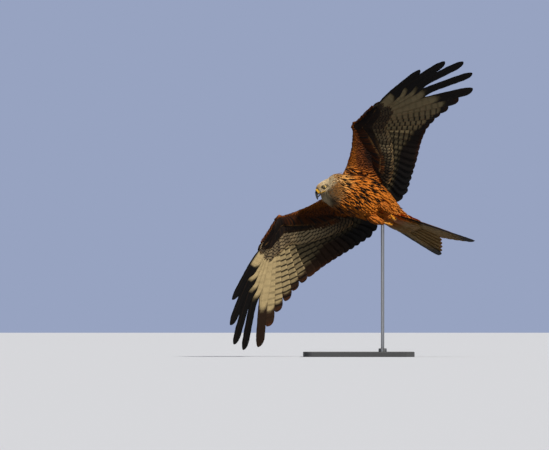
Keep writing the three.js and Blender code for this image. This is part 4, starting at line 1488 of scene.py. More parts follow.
        gap = (face - np.array(FACE.eye) - (3.5, 0.0, 1.0)) / FACE.patch
        # The throat is washed towards slate: partly its darker streaked plumage, partly painted shade under
        # the head.
        throat = smooth(-9.0, -22.0, face[:, 2]) * smooth(24.0, 4.0, face[:, 0])
        pale = blend(pale, "slate", 0.35 * throat)
        # Painted shadow: the chin under the bill is painted sepia.
        chin_shadow = smooth(-12.0, -24.0, face[:, 2]) * smooth(20.0, 0.0, face[:, 0])
        pale = blend(pale, "sepia", 0.65 * chin_shadow)
        slope = gap[:, 2] - 0.28 * gap[:, 0]
        lore = 1.0 - smooth(0.72, 1.12, np.hypot(gap[:, 0], slope))
        pale = blend(pale, "lore", 0.9 * lore * (np.abs(face[:, 1]) > 6.0))
        low = smooth(-4.0, -20.0, face[:, 2])
        reach = face[:, 0] - 26.0 * low
        grey = smooth(-62.0, -18.0, reach + 44.0 * (draw[:, 1] - 0.5)) * share["head"]
        grey = np.maximum(grey, share["head"] * smooth(-30.0, -18.0, reach))
        nape = blend("neck", "orange", 0.5 * draw[:, 0])
        nape = blend(nape, "rufous", 0.3 * low)
        body = blend(blend(body, nape, share["head"]), pale, grey)
        fine = mix(0.9, 0.25, smooth(-35.0, 8.0, reach)) * mix(0.6, 1.0, draw[:, 2])
        streak = mix(streak, fine * (1.0 - smooth(8.0, 20.0, face[:, 0])), share["head"])
        shade = mix(0.88, 1.1, draw[:, 1])[:, None]
        return {"tint": body * shade, "streak": streak, "fringe": mix(0.2, 0.5, draw[:, 3])}


class Coat:
    """The small feathers over the skin, made by Geometry Nodes in pieces."""

    SKIN_SEED = 5
    ROOT_SEED = 11
    FEATHER_SEED = 12

    def __init__(self, skin: Piece, lie: Lie, shape: CoatShape = CoatShape()) -> None:
        """Reads the skin's surface.

        Args:
            skin: The finished skin.
            lie: Lie, size and colours of the plumage.
            shape: How the feathers are made.
        """
        self.skin, self.lie, self.shape = skin, lie, shape
        bpy.context.view_layer.objects.active = skin
        bpy.ops.object.select_all(action="DESELECT")
        skin.select_set(True)
        bpy.ops.object.mode_set(mode="EDIT")
        bpy.ops.mesh.select_all(action="SELECT")
        bpy.ops.uv.smart_project(angle_limit=math.radians(66.0), island_margin=0.004)
        bpy.ops.object.mode_set(mode="OBJECT")
        mesh = skin.data
        mesh.calc_loop_triangles()
        self.corners = Make.values(mesh.loop_triangles, "vertices", 3, np.int32)
        loops = Make.values(mesh.loop_triangles, "loops", 3, np.int32)
        points = Make.values(mesh.vertices, "co", 3) - np.array(ATTITUDE.origin)
        self.points = points @ ATTITUDE.axes().T
        self.normals = Make.values(mesh.vertex_normals, "vector", 3) @ ATTITUDE.axes().T
        self.uv = Make.values(mesh.uv_layers.active.data, "uv", 2)[loops]
        self.tree = BVHTree.FromPolygons(self.points.tolist(), self.corners.tolist())

    def mark_skin(self) -> None:
        """Gives the skin the colours and streaks of the feathers over it."""
        for name, values in self.lie.tints(self.points, self.normals, self.SKIN_SEED, even=True).items():
            Make.attribute(self.skin, name, values)

    def scatter(self, seed: int) -> Places:
        """Roots spread over the skin, closer where the feathers are small.

        Args:
            seed: Seed of the draw.

        Returns:
            The roots with the skin's direction and unwrap there.
        """
        rng = np.random.default_rng(seed)
        a, b, c = (self.points[self.corners[:, i]] for i in range(3))
        area = np.linalg.norm(np.cross(b - a, c - a), axis=1) / 2.0
        length, width = self.lie.size((a + b + c) / 3.0)
        wanted = area * self.shape.cover / (length * width * self.shape.fill)
        tries = int(wanted.sum() * self.shape.tries)
        chosen = np.sort(rng.choice(len(area), tries, p=wanted / wanted.sum()))
        chosen = rng.permutation(chosen)
        u, v = rng.random(tries), rng.random(tries)
        over = u + v > 1.0
        u, v = np.where(over, 1.0 - u, u)[:, None], np.where(over, 1.0 - v, v)[:, None]
        corners = self.corners[chosen]
        root = self.points[corners[:, 0]] * (1.0 - u - v) + self.points[corners[:, 1]] * u
        root = root + self.points[corners[:, 2]] * v
        normal = unit(self.normals[corners].mean(axis=1))
        flat = self.uv[chosen]
        uv = flat[:, 0] * (1.0 - u - v) + flat[:, 1] * u + flat[:, 2] * v
        gap = self.shape.spacing * np.sqrt(length * width * self.shape.fill / self.shape.cover)[chosen]
        grown = ~self.lie.bare(root)
        root, normal, uv, gap = root[grown], normal[grown], uv[grown], gap[grown]
        keep = self.spaced(root, gap)
        return Places(root[keep], normal[keep], uv[keep])

    @staticmethod
    def spaced(points: Array, gap: Array) -> Array:
        """Numbers of the points that keep their distance from those before them."""
        cell = float(gap.max())
        grid: dict[tuple, list[int]] = {}
        kept = []
        cells = np.floor(points / cell).astype(int).tolist()
        rows = points.tolist()
        steps = [(i, j, k) for i in (-1, 0, 1) for j in (-1, 0, 1) for k in (-1, 0, 1)]
        squared = (gap**2).tolist()
        for index, ((x, y, z), (i, j, k)) in enumerate(zip(rows, cells)):
            near = (rows[other] for di, dj, dk in steps for other in grid.get((i + di, j + dj, k + dk), ()))
            if all((ox - x) ** 2 + (oy - y) ** 2 + (oz - z) ** 2 >= squared[index] for ox, oy, oz in near):
                grid.setdefault((i, j, k), []).append(index)
                kept.append(index)
        return np.array(kept)

    def onto_skin(self, points: Array) -> tuple[Array, Array]:
        """Nearest points of the skin, and the outward directions there."""
        found = [self.tree.find_nearest(point) for point in points.tolist()]
        near = np.array([hit[0] for hit in found])
        corners = self.corners[[hit[2] for hit in found]]
        return near, unit(self.normals[corners].mean(axis=1))

    def strands(self, places: Places, seed: int) -> Marks:
        """Everything that one feather needs, for each place.

        Args:
            places: Where the feathers grow.
            seed: Seed of their variation.

        Returns:
            Vectors and numbers by their attribute's name, in the part frame.
        """
        rng = np.random.default_rng(seed)
        count = len(places.root)
        length, width = self.lie.size(places.root)
        length = length * rng.uniform(0.86, 1.14, count)
        width = width * rng.uniform(0.88, 1.12, count)
        lie = self.lie.direction(places.root, places.normal)
        stray = rng.normal(0.0, 0.07, count)[:, None] * np.cross(places.normal, lie)
        lie = unit(lie + stray)
        middle, middle_up = self.onto_skin(places.root + lie * length[:, None] * 0.5)
        onward = self.lie.direction(middle, middle_up)
        onward = unit(onward + stray)
        tip, tip_up = self.onto_skin(middle + onward * length[:, None] * 0.5)
        share = np.minimum(1.0, length / 0.018)
        lift = (self.shape.raise_tip * share * rng.uniform(0.8, 1.15, count))[:, None]
        marks = self.lie.tints(places.root, places.normal, seed + 1)
        marked = np.minimum(1.0, marks["streak"]) * self.lie.breast(places.root)
        wide = mix(1.0, 0.3, marked)
        lift = lift * (1.0 + 1.2 * marked[:, None])
        root = places.root - places.normal * self.shape.sink * share[:, None]
        middle = middle + middle_up * lift * 0.62
        tip = tip + tip_up * lift
        control = 2.0 * middle - 0.5 * (root + tip)
        axes = ATTITUDE.axes()
        place = ATTITUDE.place
        made = {
            "root": place(root),
            "control": place(control),
            "tip": place(tip),
            "root_side": np.cross(lie, places.normal) @ axes,
            "tip_side": np.cross(onward, tip_up) @ axes,
            "root_up": places.normal @ axes,
            "tip_up": tip_up @ axes,
            "patch": np.column_stack([places.uv, np.zeros(count)]),
            "wide": width * wide / 2.0,
        }
        made.update(marks)
        return made

    @staticmethod
    def blade() -> Piece:
        """The one small feather that is repeated, with its place on itself as attributes."""
        share = np.array([0.0, 0.16, 0.4, 0.66, 0.86, 0.96, 1.0])
        width = np.array([0.3, 0.62, 0.95, 1.0, 0.74, 0.4, 0.06])
        across = np.array([-1.0, 0.0, 1.0, 0.0])
        over = np.array([0.0, 1.0, 0.0, -1.0])
        stations = len(share)
        points = np.zeros((stations, 4, 3))
        points[..., 0] = across * width[:, None]
        points[..., 1] = share[:, None]
        points[..., 2] = over * 0.02
        made = Make.tube("feather_blade", points, stations, 4)
        Make.attribute(made, "along", np.repeat(share, 4))
        Make.attribute(made, "across", np.tile(across, stations))
        Make.attribute(made, "span", (across * width[:, None]).ravel())
        Make.attribute(made, "over", np.tile(over, stations))
        return made

    def points_piece(self, name: str, strands: Marks) -> Piece:
        """Bare points that carry each feather's values."""
        made = Make.mesh(name, strands["root"], [])
        for key, values in strands.items():
            Make.attribute(made, key, values)
        return made

    def build(self, material: Material) -> list[Piece]:
        """All pieces of the coat.

        Args:
            material: Finish of the feathers.

        Returns:
            The pieces as plain meshes.
        """
        places = self.scatter(self.ROOT_SEED)
        strands = self.strands(places, self.FEATHER_SEED)
        blade = self.blade()
        tree = CoatTree(blade, material, self.shape)
        pieces = []
        regions = self.lie.regions(places.root)
        for region in Region:
            here = np.flatnonzero(regions == list(Region).index(region))
            order = here[np.argsort(places.root[here, 0] + 2.0 * np.abs(places.root[here, 1]))]
            for number, start in enumerate(range(0, len(order), self.shape.most)):
                some = order[start : start + self.shape.most]
                values = {key: value[some] for key, value in strands.items()}
                piece = tree.apply(self.points_piece(f"coat_{region.value}_{number + 1}", values))
                settle(piece, SLOTS[region])
                pieces.append(piece)
        bpy.data.objects.remove(blade)
        LOG.info("coat: %d feathers", len(places.root))
        return pieces


class Graph:
    """Nodes of one tree."""

    def __init__(self, tree: bpy.types.NodeTree) -> None:
        """Keeps the tree."""
        self.tree = tree

    def node(self, kind: str, settings: dict, inputs: dict | tuple = ()) -> bpy.types.Node:
        """Any node.

        Args:
            kind: Type of the node.
            settings: Its properties.
            inputs: Values or links, by the name or the number of the socket.

        Returns:
            The node.
        """
        made = self.tree.nodes.new(kind)
        for name, value in settings.items():
            setattr(made, name, value)
        for name, value in inputs.items() if isinstance(inputs, dict) else enumerate(inputs):
            self.feed(made.inputs[name], value)
        return made

    def feed(self, entry: Plug, value: object) -> None:
        """Links a socket to an input, or sets the input to a number, a text, a vector or a colour."""
        value = value.output if isinstance(value, Socket) else value
        if isinstance(value, Plug):
            self.tree.links.new(value, entry)
        elif isinstance(value, (int, float, str)):
            entry.default_value = value
        else:
            parts = tuple(float(part) for part in value)
            entry.default_value = parts + (1.0,) if len(parts) == 3 and entry.type == "RGBA" else parts


class CoatTree(Graph):
    """Geometry Nodes that set a feather on each point, bend it and lay its patch on the unwrap."""

    USED = ("root", "control", "tip", "root_side", "tip_side", "root_up", "tip_up", "patch", "wide", "over")

    def __init__(self, blade: Piece, material: Material, shape: CoatShape) -> None:
        """Builds the tree.

        Args:
            blade: The feather that is repeated.
            material: Finish of the feathers.
            shape: Sizes for the tree's inputs.
        """
        self.blade, self.material, self.shape = blade, material, shape
        super().__init__(bpy.data.node_groups.new("coat_feathers", "GeometryNodeTree"))
        face = self.tree.interface
        face.new_socket("Geometry", in_out="INPUT", socket_type="NodeSocketGeometry")
        self.sockets = {
            name: face.new_socket(name, in_out="INPUT", socket_type=kind).identifier
            for name, kind in (
                ("Blade", "NodeSocketObject"),
                ("Thickness", "NodeSocketFloat"),
                ("Camber", "NodeSocketFloat"),
                ("Patch", "NodeSocketFloat"),
                ("Finish", "NodeSocketMaterial"),
            )
        }
        face.new_socket("Geometry", in_out="OUTPUT", socket_type="NodeSocketGeometry")
        self.group = self.tree.nodes.new("NodeGroupInput").outputs
        self.lay_out()

    def read(self, name: str, kind: str = "FLOAT_VECTOR") -> Plug:
        """Value of a named attribute."""
        return self.node("GeometryNodeInputNamedAttribute", {"data_type": kind}, {"Name": name}).outputs[0]

    def vector(self, operation: str, a: object, b: object) -> Plug:
        """Vector Math on two values, where SCALE takes a number second."""
        second = 3 if operation == "SCALE" else 1
        return self.node("ShaderNodeVectorMath", {"operation": operation}, {0: a, second: b}).outputs[0]

    def number(self, operation: str, a: object, b: object) -> Plug:
        """Math on two numbers."""
        return self.node("ShaderNodeMath", {"operation": operation}, {0: a, 1: b}).outputs[0]

    def between(self, a: object, b: object, share: object) -> Plug:
        """Vector a share of the way from a to b."""
        return self.vector("ADD", a, self.vector("SCALE", self.vector("SUBTRACT", b, a), share))

    def lay_out(self) -> None:
        """Adds and links the nodes."""
        blade = self.node("GeometryNodeObjectInfo", {}, {"Object": self.group["Blade"]})
        inputs = {"Points": self.group["Geometry"], "Instance": blade.outputs["Geometry"]}
        feathers = self.node("GeometryNodeInstanceOnPoints", {}, inputs)
        real = self.node("GeometryNodeRealizeInstances", {}, {"Geometry": feathers.outputs[0]})
        along, over = self.read("along", "FLOAT"), self.read("over", "FLOAT")
        span, wide = self.read("span", "FLOAT"), self.read("wide", "FLOAT")
        first = self.between(self.read("root"), self.read("control"), along)
        second = self.between(self.read("control"), self.read("tip"), along)
        spine = self.between(first, second, along)
        side = self.between(self.read("root_side"), self.read("tip_side"), along)
        upper = self.between(self.read("root_up"), self.read("tip_up"), along)
        reach = self.number("MULTIPLY", span, wide)
        sag = self.number("MULTIPLY", self.number("MULTIPLY", span, span), self.group["Camber"])
        rise = self.number("SUBTRACT", self.number("MULTIPLY", over, self.group["Thickness"]), sag)
        height = self.number("MULTIPLY", rise, wide)
        place = self.vector("ADD", spine, self.vector("SCALE", side, reach))
        place = self.vector("ADD", place, self.vector("SCALE", upper, height))
        moved = self.node("GeometryNodeSetPosition", {}, {"Geometry": real.outputs[0], "Position": place})
        local = self.node("ShaderNodeCombineXYZ", {}, {0: span, 1: along}).outputs[0]
        flat = self.vector("ADD", self.read("patch"), self.vector("SCALE", local, self.group["Patch"]))
        inputs = {"Geometry": moved.outputs[0], "Name": "OFBake", "Value": flat}
        settings = {"data_type": "FLOAT2", "domain": "CORNER"}
        stored = self.node("GeometryNodeStoreNamedAttribute", settings, inputs)
        inputs = {"Geometry": stored.outputs[0], "Material": self.group["Finish"]}
        dressed = self.node("GeometryNodeSetMaterial", {}, inputs)
        self.node("NodeGroupOutput", {}, {"Geometry": dressed.outputs[0]})

    def apply(self, piece: Piece) -> Piece:
        """Turns a piece of bare points into feathers as a plain mesh."""
        modifier = piece.modifiers.new("feathers", "NODES")
        modifier.node_group = self.tree
        values = (self.blade, self.shape.thick, self.shape.camber, self.shape.patch, self.material)
        for name, value in zip(self.sockets, values):
            modifier[self.sockets[name]] = value
        Make.applied(piece)
        for name in self.USED:
            layer = piece.data.attributes.get(name)
            if layer:
                piece.data.attributes.remove(layer)
        piece.data.shade_smooth()
        return piece


@dataclass(frozen=True)
class CoatFinish:
    """Small feathers: tint of each, dark shaft streak, paler fringe and fine barbs."""

    name: str = "coat_feathers"

    def material(self) -> Material:
        """The material."""
        nodes = Nodes(self.name)
        along, across = nodes.mark("along"), nodes.mark("across")
        tint = nodes.mark("tint", "Color")
        streak = nodes.mark("streak")
        reach = across.size()
        broad = 1.0 - reach.step(0.42, 0.62) + streak.step(1.0, 2.0)
        dark = broad * along.step(0.05, 0.2) * (1.0 - along.step(0.96, 1.0)) * streak
        fringe = (reach.step(0.5, 1.0) + along.step(0.8, 1.0)) * nodes.mark("fringe")
        colour = nodes.mixed(fringe * 0.3, tint, nodes.scaled(tint, 1.5))
        colour = nodes.mixed(dark, colour, PLUMAGE.colour("black"))
        colour = nodes.mottled(colour, 70.0)
        # The root half of each feather is darker: partly its greyer downy base, partly painted shade where it
        # lies under its neighbours.
        colour = nodes.scaled(colour, along.step(0.0, 0.5) * 0.25 + 0.75)
        barb = (along * 34.0 - reach * 9.0).wave() * 0.6 + nodes.noise(1400.0) * 0.4
        nodes.bump(barb, 0.0003, 0.5)
        rough = nodes.noise(300.0) * 0.15 + 0.62
        return nodes.surface(base_color=colour, roughness=rough, specular_ior_level=0.1)


@dataclass(frozen=True)
class SkinFinish:
    """Skin under the coat, with the coat's own regions, tints and streaks."""

    name: str = "skin_plumage"

    def material(self) -> Material:
        """The material."""
        nodes = Nodes(self.name)
        tint = nodes.mark("tint", "Color")
        flecks = nodes.noise(260.0).step(0.5, 0.62) * nodes.mark("streak")
        colour = nodes.mixed(flecks * 0.8, nodes.scaled(tint, 0.7), PLUMAGE.colour("black"))
        colour = nodes.mottled(colour, 70.0)
        nodes.bump(nodes.noise(500.0), 0.0006, 0.7)
        return nodes.surface(base_color=colour, roughness=nodes.noise(300.0) * 0.1 + 0.75)


def operator(name: str, reflected: bool = False) -> Callable[["Socket", "Socket | float"], "Socket"]:
    """Method of a socket that makes a Math node with another value.

    Args:
        name: The node's operation.
        reflected: Whether the other value comes first.

    Returns:
        The method.
    """

    def method(self: "Socket", other: "Socket | float") -> "Socket":
        """Result of the node."""
        return self.math(name, *((other, self) if reflected else (self, other)))

    return method


class Socket:
    """A shader value or colour that takes part in Python expressions."""

    def __init__(self, tree: "Nodes", output: Plug) -> None:
        """Keeps the tree and the node output that carries the value."""
        self.tree = tree
        self.output = output

    def math(self, operation: str, *values: "Socket | float") -> "Socket":
        """A Math node on values."""
        return self.tree.add("ShaderNodeMath", {"operation": operation}, values)

    __add__, __radd__ = operator("ADD"), operator("ADD", True)
    __sub__, __rsub__ = operator("SUBTRACT"), operator("SUBTRACT", True)
    __mul__, __rmul__ = operator("MULTIPLY"), operator("MULTIPLY", True)
    __pow__ = operator("POWER")

    def step(self, start: float, end: float) -> "Socket":
        """Smooth step from 0 at start to 1 at end."""
        settings = {"interpolation_type": "SMOOTHSTEP"}
        inputs = {"Value": self, "From Min": start, "From Max": end}
        return self.tree.add("ShaderNodeMapRange", settings, inputs)

    def wave(self) -> "Socket":
        """Sine of the value in turns, from 0 to 1."""
        return self.math("SINE", self * (2.0 * math.pi)) * 0.5 + 0.5

    def size(self) -> "Socket":
        """Absolute value."""
        return self.math("ABSOLUTE", self)


class Nodes(Graph):
    """Shader nodes of one material."""

    def __init__(self, name: str) -> None:
        """Makes a material of the given name with a surface shader."""
        self.material = bpy.data.materials.new(name)
        self.material.use_nodes = True
        super().__init__(self.material.node_tree)
        self.shader = self.tree.nodes["Principled BSDF"]

    def add(self, kind: str, settings: dict, inputs: dict | tuple = (), output: str | int = 0) -> Socket:
        """One output of any node."""
        return Socket(self, self.node(kind, settings, inputs).outputs[output])

    def mark(self, name: str, output: str = "Fac") -> Socket:
        """An attribute of the mesh, its number as Fac and its colour as Color."""
        return self.add("ShaderNodeAttribute", {"attribute_name": name}, (), output)

    def place(self) -> Socket:
        """Object coordinates."""
        return self.add("ShaderNodeTexCoord", {}, (), "Object")

    def noise(self, scale: float, detail: float = 3.0, vector: Socket | None = None) -> Socket:
        """Noise value at a number of cells in a metre."""
        inputs = {"Scale": scale, "Detail": detail, "Vector": vector or self.place()}
        return self.add("ShaderNodeTexNoise", {}, inputs, "Fac")

    def mixed(self, factor: Socket | float, a: Socket | Array, b: Socket | Array, way: str = "MIX") -> Socket:
        """Colour between two colours."""
        settings = {"data_type": "RGBA", "blend_type": way}
        return self.add("ShaderNodeMix", settings, {0: factor, 6: a, 7: b}, 2)

    def scaled(self, colour: Socket, amount: Socket | float) -> Socket:
        """Colour times a number."""
        return self.add("ShaderNodeVectorMath", {"operation": "SCALE"}, {0: colour, 3: amount})

    def mottled(self, colour: Socket, scale: float) -> Socket:
        """Colour made lighter and darker by a noise."""
        return self.scaled(colour, self.noise(scale) * 0.5 + 0.75)

    def bump(self, height: Socket, distance: float, strength: float = 1.0) -> None:
        """Feeds the shader's normal with a height in metres times distance."""
        inputs = {"Height": height, "Distance": distance, "Strength": strength}
        self.feed(self.shader.inputs["Normal"], self.add("ShaderNodeBump", {}, inputs))

    def surface(self, **values: "Socket | float | Array") -> Material:
        """Sets the shader's inputs, written with underscores, and returns the material."""
        for name, value in values.items():
            self.feed(self.shader.inputs[name.replace("_", " ").title().replace("Ior", "IOR")], value)
        return self.material


@dataclass(frozen=True)
class VaneFinish:
    """Flight feathers and coverts: colour from the marks, dark bars, shaft line and fine barbs."""

    name: str = "feather_vane"
    barbs: float = 260.0

    def material(self) -> Material:
        """The material."""
        nodes = Nodes(self.name)
        tint = nodes.mark("tint", "Color")
        along, across = nodes.mark("along"), nodes.mark("across")
        phase, bars = nodes.mark("phase"), nodes.mark("bars")
        wander = nodes.noise(60.0) * 0.22 + across.size() * 0.2
        bar = (phase + wander).wave().step(0.68, 0.84) * bars
        colour = nodes.mixed(bar, tint, PLUMAGE.colour("black"))
        shaft = (1.0 - across.size().step(0.0, 0.07)) * nodes.mark("streak")
        colour = nodes.mixed(shaft, colour, PLUMAGE.colour("sepia"))
        colour = nodes.mottled(colour, 35.0)
        slant = along * self.barbs - across.size() * 22.0
        barb = slant.wave() * 0.7 + nodes.noise(900.0) * 0.3
        nodes.bump(barb, 0.0003, 0.5)
        rough = nodes.noise(200.0) * 0.15 + 0.55
        return nodes.surface(base_color=colour, roughness=rough, specular_ior_level=0.1)


@dataclass(frozen=True)
class PlainFinish:
    """A finish of one main colour with fine mottling and a little relief."""

    name: str
    colour: Shade
    roughness: float = 0.5
    metallic: float = 0.0
    coat: float = 0.0
    grain: float = 400.0
    relief: float = 0.0002
    mottle: float = 0.2

    def material(self) -> Material:
        """The material."""
        nodes = Nodes(self.name)
        base = linear(*self.colour)
        share = nodes.noise(self.grain * 0.2)
        colour = nodes.mixed(share, base * (1.0 - self.mottle), base * (1.0 + self.mottle))
        nodes.bump(nodes.noise(self.grain), self.relief, 0.6)
        rough = nodes.noise(self.grain * 0.5) * 0.12 + (self.roughness - 0.06)
        fixed = {"metallic": self.metallic, "coat_weight": self.coat}
        return nodes.surface(base_color=colour, roughness=rough, **fixed)


@dataclass(frozen=True)
class IrisFinish:
    """Wet eye of one side: black pupil, pale yellow iris with fine spokes, dark rim."""

    side: int
    pupil: float = 0.36
    rim: float = 0.84
    inner: Shade = (232, 200, 112)
    outer: Shade = (214, 168, 70)

    def material(self) -> Material:
        """The material."""
        nodes = Nodes(f"kite_iris_{SIDES[self.side]}")
        centre, axis = Eye(self.side).in_part()
        away = nodes.add("ShaderNodeVectorMath", {"operation": "SUBTRACT"}, (nodes.place(), centre))
        away = nodes.add("ShaderNodeVectorMath", {"operation": "NORMALIZE"}, (away,))
        facing = nodes.add("ShaderNodeVectorMath", {"operation": "DOT_PRODUCT"}, (away, axis), "Value")
        reach = (1.0 - facing * facing) ** 0.5
        spokes = nodes.noise(2600.0) * 0.5 + 0.7
        iris = nodes.mixed(reach.step(self.pupil, self.rim), linear(*self.inner), linear(*self.outer))
        iris = nodes.scaled(iris, spokes)
        black = PLUMAGE.colour("black")
        colour = nodes.mixed(1.0 - reach.step(self.pupil, self.pupil + 0.03), iris, black * 0.3)
        colour = nodes.mixed(reach.step(self.rim, self.rim + 0.06), colour, black)
        nodes.bump(nodes.noise(900.0), 0.00005, 0.2)
        return nodes.surface(base_color=colour, roughness=nodes.noise(400.0) * 0.04 + 0.06, coat_weight=1.0)


@dataclass(frozen=True)
class HornFinish:
    """Bill or claw: black polished horn with growth lines, paler where it leaves the skin."""

    name: str
    base: Shade = (62, 54, 48)
    tip: Shade = (22, 20, 20)
    lines: float = 900.0

    def material(self) -> Material:
        """The material."""
        nodes = Nodes(self.name)
        share = nodes.mark("along")
        colour = nodes.mixed(share.step(0.0, 0.45), linear(*self.base), linear(*self.tip))
        colour = nodes.mottled(colour, self.lines * 0.3)
        grain = (share * 26.0 + nodes.noise(180.0) * 0.8).wave() * 0.4 + nodes.noise(self.lines) * 0.6
        nodes.bump(grain, 0.00012, 0.5)
        return nodes.surface(base_color=colour, roughness=nodes.noise(300.0) * 0.14 + 0.2, coat_weight=0.4)


@dataclass(frozen=True)
class WaxFinish:
    """Bare yellow skin: waxy on the cere, in scales on the leg."""

    name: str
    colour: Shade
    scales: float
    relief: float = 0.0003
    roughness: float = 0.36
    seam: float = 0.55

    def material(self) -> Material:
        """The material."""
        nodes = Nodes(self.name)
        inputs = {"Scale": self.scales, "Vector": nodes.place()}
        cell = nodes.add("ShaderNodeTexVoronoi", {"feature": "DISTANCE_TO_EDGE"}, inputs)
        plate = cell.step(0.0, 0.16)
        base = linear(*self.colour)
        colour = nodes.mixed(nodes.noise(self.scales * 0.5), base * (0.72, 0.6, 0.45), base)
        colour = nodes.mixed((1.0 - plate) * self.seam, colour, base * (0.45, 0.35, 0.25))
        nodes.bump(plate * 0.8 + nodes.noise(self.scales * 4.0) * 0.2, self.relief, 0.7)
        return nodes.surface(base_color=colour, roughness=nodes.noise(500.0) * 0.14 + self.roughness)


@dataclass(frozen=True)
class Eye:
    """One eye: a fine eyeball with a domed cornea, and lids in a ring round it, in millimetres."""

    side: int
    steps: int = 48
    rings: int = 28
    dome: float = 0.7
    margin: Triple = (57.0, 9.0, 2.0)
    lid_thick: float = 0.75

    def axes(self) -> Array:
        """Rows of the outward, forward and upward directions of the eye in the head's frame."""
        outward = unit(np.array([0.18, self.side, 0.02]))
        forward = np.array([1.0, 0.0, 0.0])
        forward = unit(forward - forward @ outward * outward)
        up = np.cross(forward, outward) * -self.side
        return np.stack([outward, forward, -up if up[2] < 0.0 else up])

    def centre(self) -> Array:
        """Centre of the eyeball in the head's frame."""
        return np.array(FACE.eye) * (1.0, self.side, 1.0)

    def in_part(self) -> tuple[Array, Array]:
        """Centre of the eyeball and its outward direction in the part frame."""
        outward = self.axes()[0] @ HEAD.axes() @ ATTITUDE.axes()
        return ATTITUDE.place(HEAD.out(self.centre())), outward

    def globe(self, polar: Array, around: Array, radius: Array) -> Array:
        """Points on a globe round the eye, from angles off its axis and round it."""
        parts = (np.cos(polar), np.sin(polar) * np.cos(around), np.sin(polar) * np.sin(around))
        points = sum(part[..., None] * axis for part, axis in zip(parts, self.axes()))
        return ATTITUDE.place(HEAD.out(self.centre() + points * radius[..., None]))

    def ball(self) -> Piece:
        """The eyeball with its cornea."""
        polar = np.linspace(0.02, math.pi - 0.02, self.rings)[:, None] * np.ones((1, self.steps))
        around = np.ones((self.rings, 1)) * np.arange(self.steps) / self.steps * 2.0 * math.pi
        radius = FACE.ball - 0.2 + self.dome * (1.0 - smooth(0.0, 0.75, polar))
        points = self.globe(polar, around, radius)
        return Make.tube(f"eye_ball_{SIDES[self.side]}", points, self.rings, self.steps)

    def lids(self) -> Piece:
        """Ring of the two lids, the upper one lower over the iris."""
        around = np.arange(self.steps) / self.steps * 2.0 * math.pi
        start, upper, wide = self.margin
        inner = start - upper * np.maximum(0.0, np.sin(around)) + wide * np.abs(np.cos(around)) ** 2 * 4.0
        share = np.array([0.0, 0.03, 0.12, 0.4, 0.7, 1.0, 1.0, 0.7, 0.4, 0.12, 0.03])
        height = np.array([0.5, 0.85, 1.0, 0.9, 0.7, 0.3, -0.6, -0.3, -0.1, 0.0, 0.15])
        polar = np.radians(inner[:, None] + (88.0 - inner[:, None]) * share[None, :])
        fold = 0.22 * np.sin(share * 9.0 * math.pi) * (height > 0.6)
        radius = FACE.ball + 0.12 + self.lid_thick * (height + fold)[None, :] * np.ones_like(polar)
        points = self.globe(polar, around[:, None] * np.ones_like(polar), radius)
        count = len(share)
        row, cell = np.arange(self.steps)[:, None] * count, np.arange(count)
        below, beside = (row + count) % (self.steps * count), (cell + 1) % count
        faces = np.stack([row + cell, row + beside, below + beside, below + cell], axis=-1)
        return Make.closed(f"eye_lids_{SIDES[self.side]}", points.reshape(-1, 3), faces.reshape(-1, 4))


class Refined:
    """Fine rounded pieces in place of small faceted nodes, kept to their shapes."""

    @staticmethod
    def piece(name: str, nodes: tuple[str, ...], voxel: float, passes: int, thin: float = 0.0) -> Piece:
        """One fine piece from copies of nodes.

        Args:
            name: Name of the piece.
            nodes: Nodes that it stands for.
            voxel: Size of its cells in metres.
            passes: Smoothing passes.
            thin: How much thinner the piece is than the nodes all round, in metres.

        Returns:
            The piece with `along`, the share of the way along its longest axis from the body.
        """
        copies = []
        for node in nodes:
            copy = frame["nodes"][node].copy()
            copy.data = copy.data.copy()
            copy.parent = None
            copy.hide_render = False
            bpy.context.scene.collection.objects.link(copy)
            work = bmesh.new()
            work.from_mesh(copy.data)
            bmesh.ops.remove_doubles(work, verts=work.verts, dist=0.00002)
            work.to_mesh(copy.data)
            work.free()
            copies.append(copy)
        made = Make.join(name, copies)
        made.data.materials.clear()
        Make.remesh(made, voxel, passes)
        if thin:
            shrink = made.modifiers.new("shrink", "DISPLACE")
            shrink.strength, shrink.mid_level = -thin, 0.0
        Make.applied(made)
        away = np.linalg.norm(Make.values(made.data.vertices, "co", 3) - np.array(ATTITUDE.origin), axis=1)
        Make.attribute(made, "along", (away - away.min()) / (away.max() - away.min()))
        return made


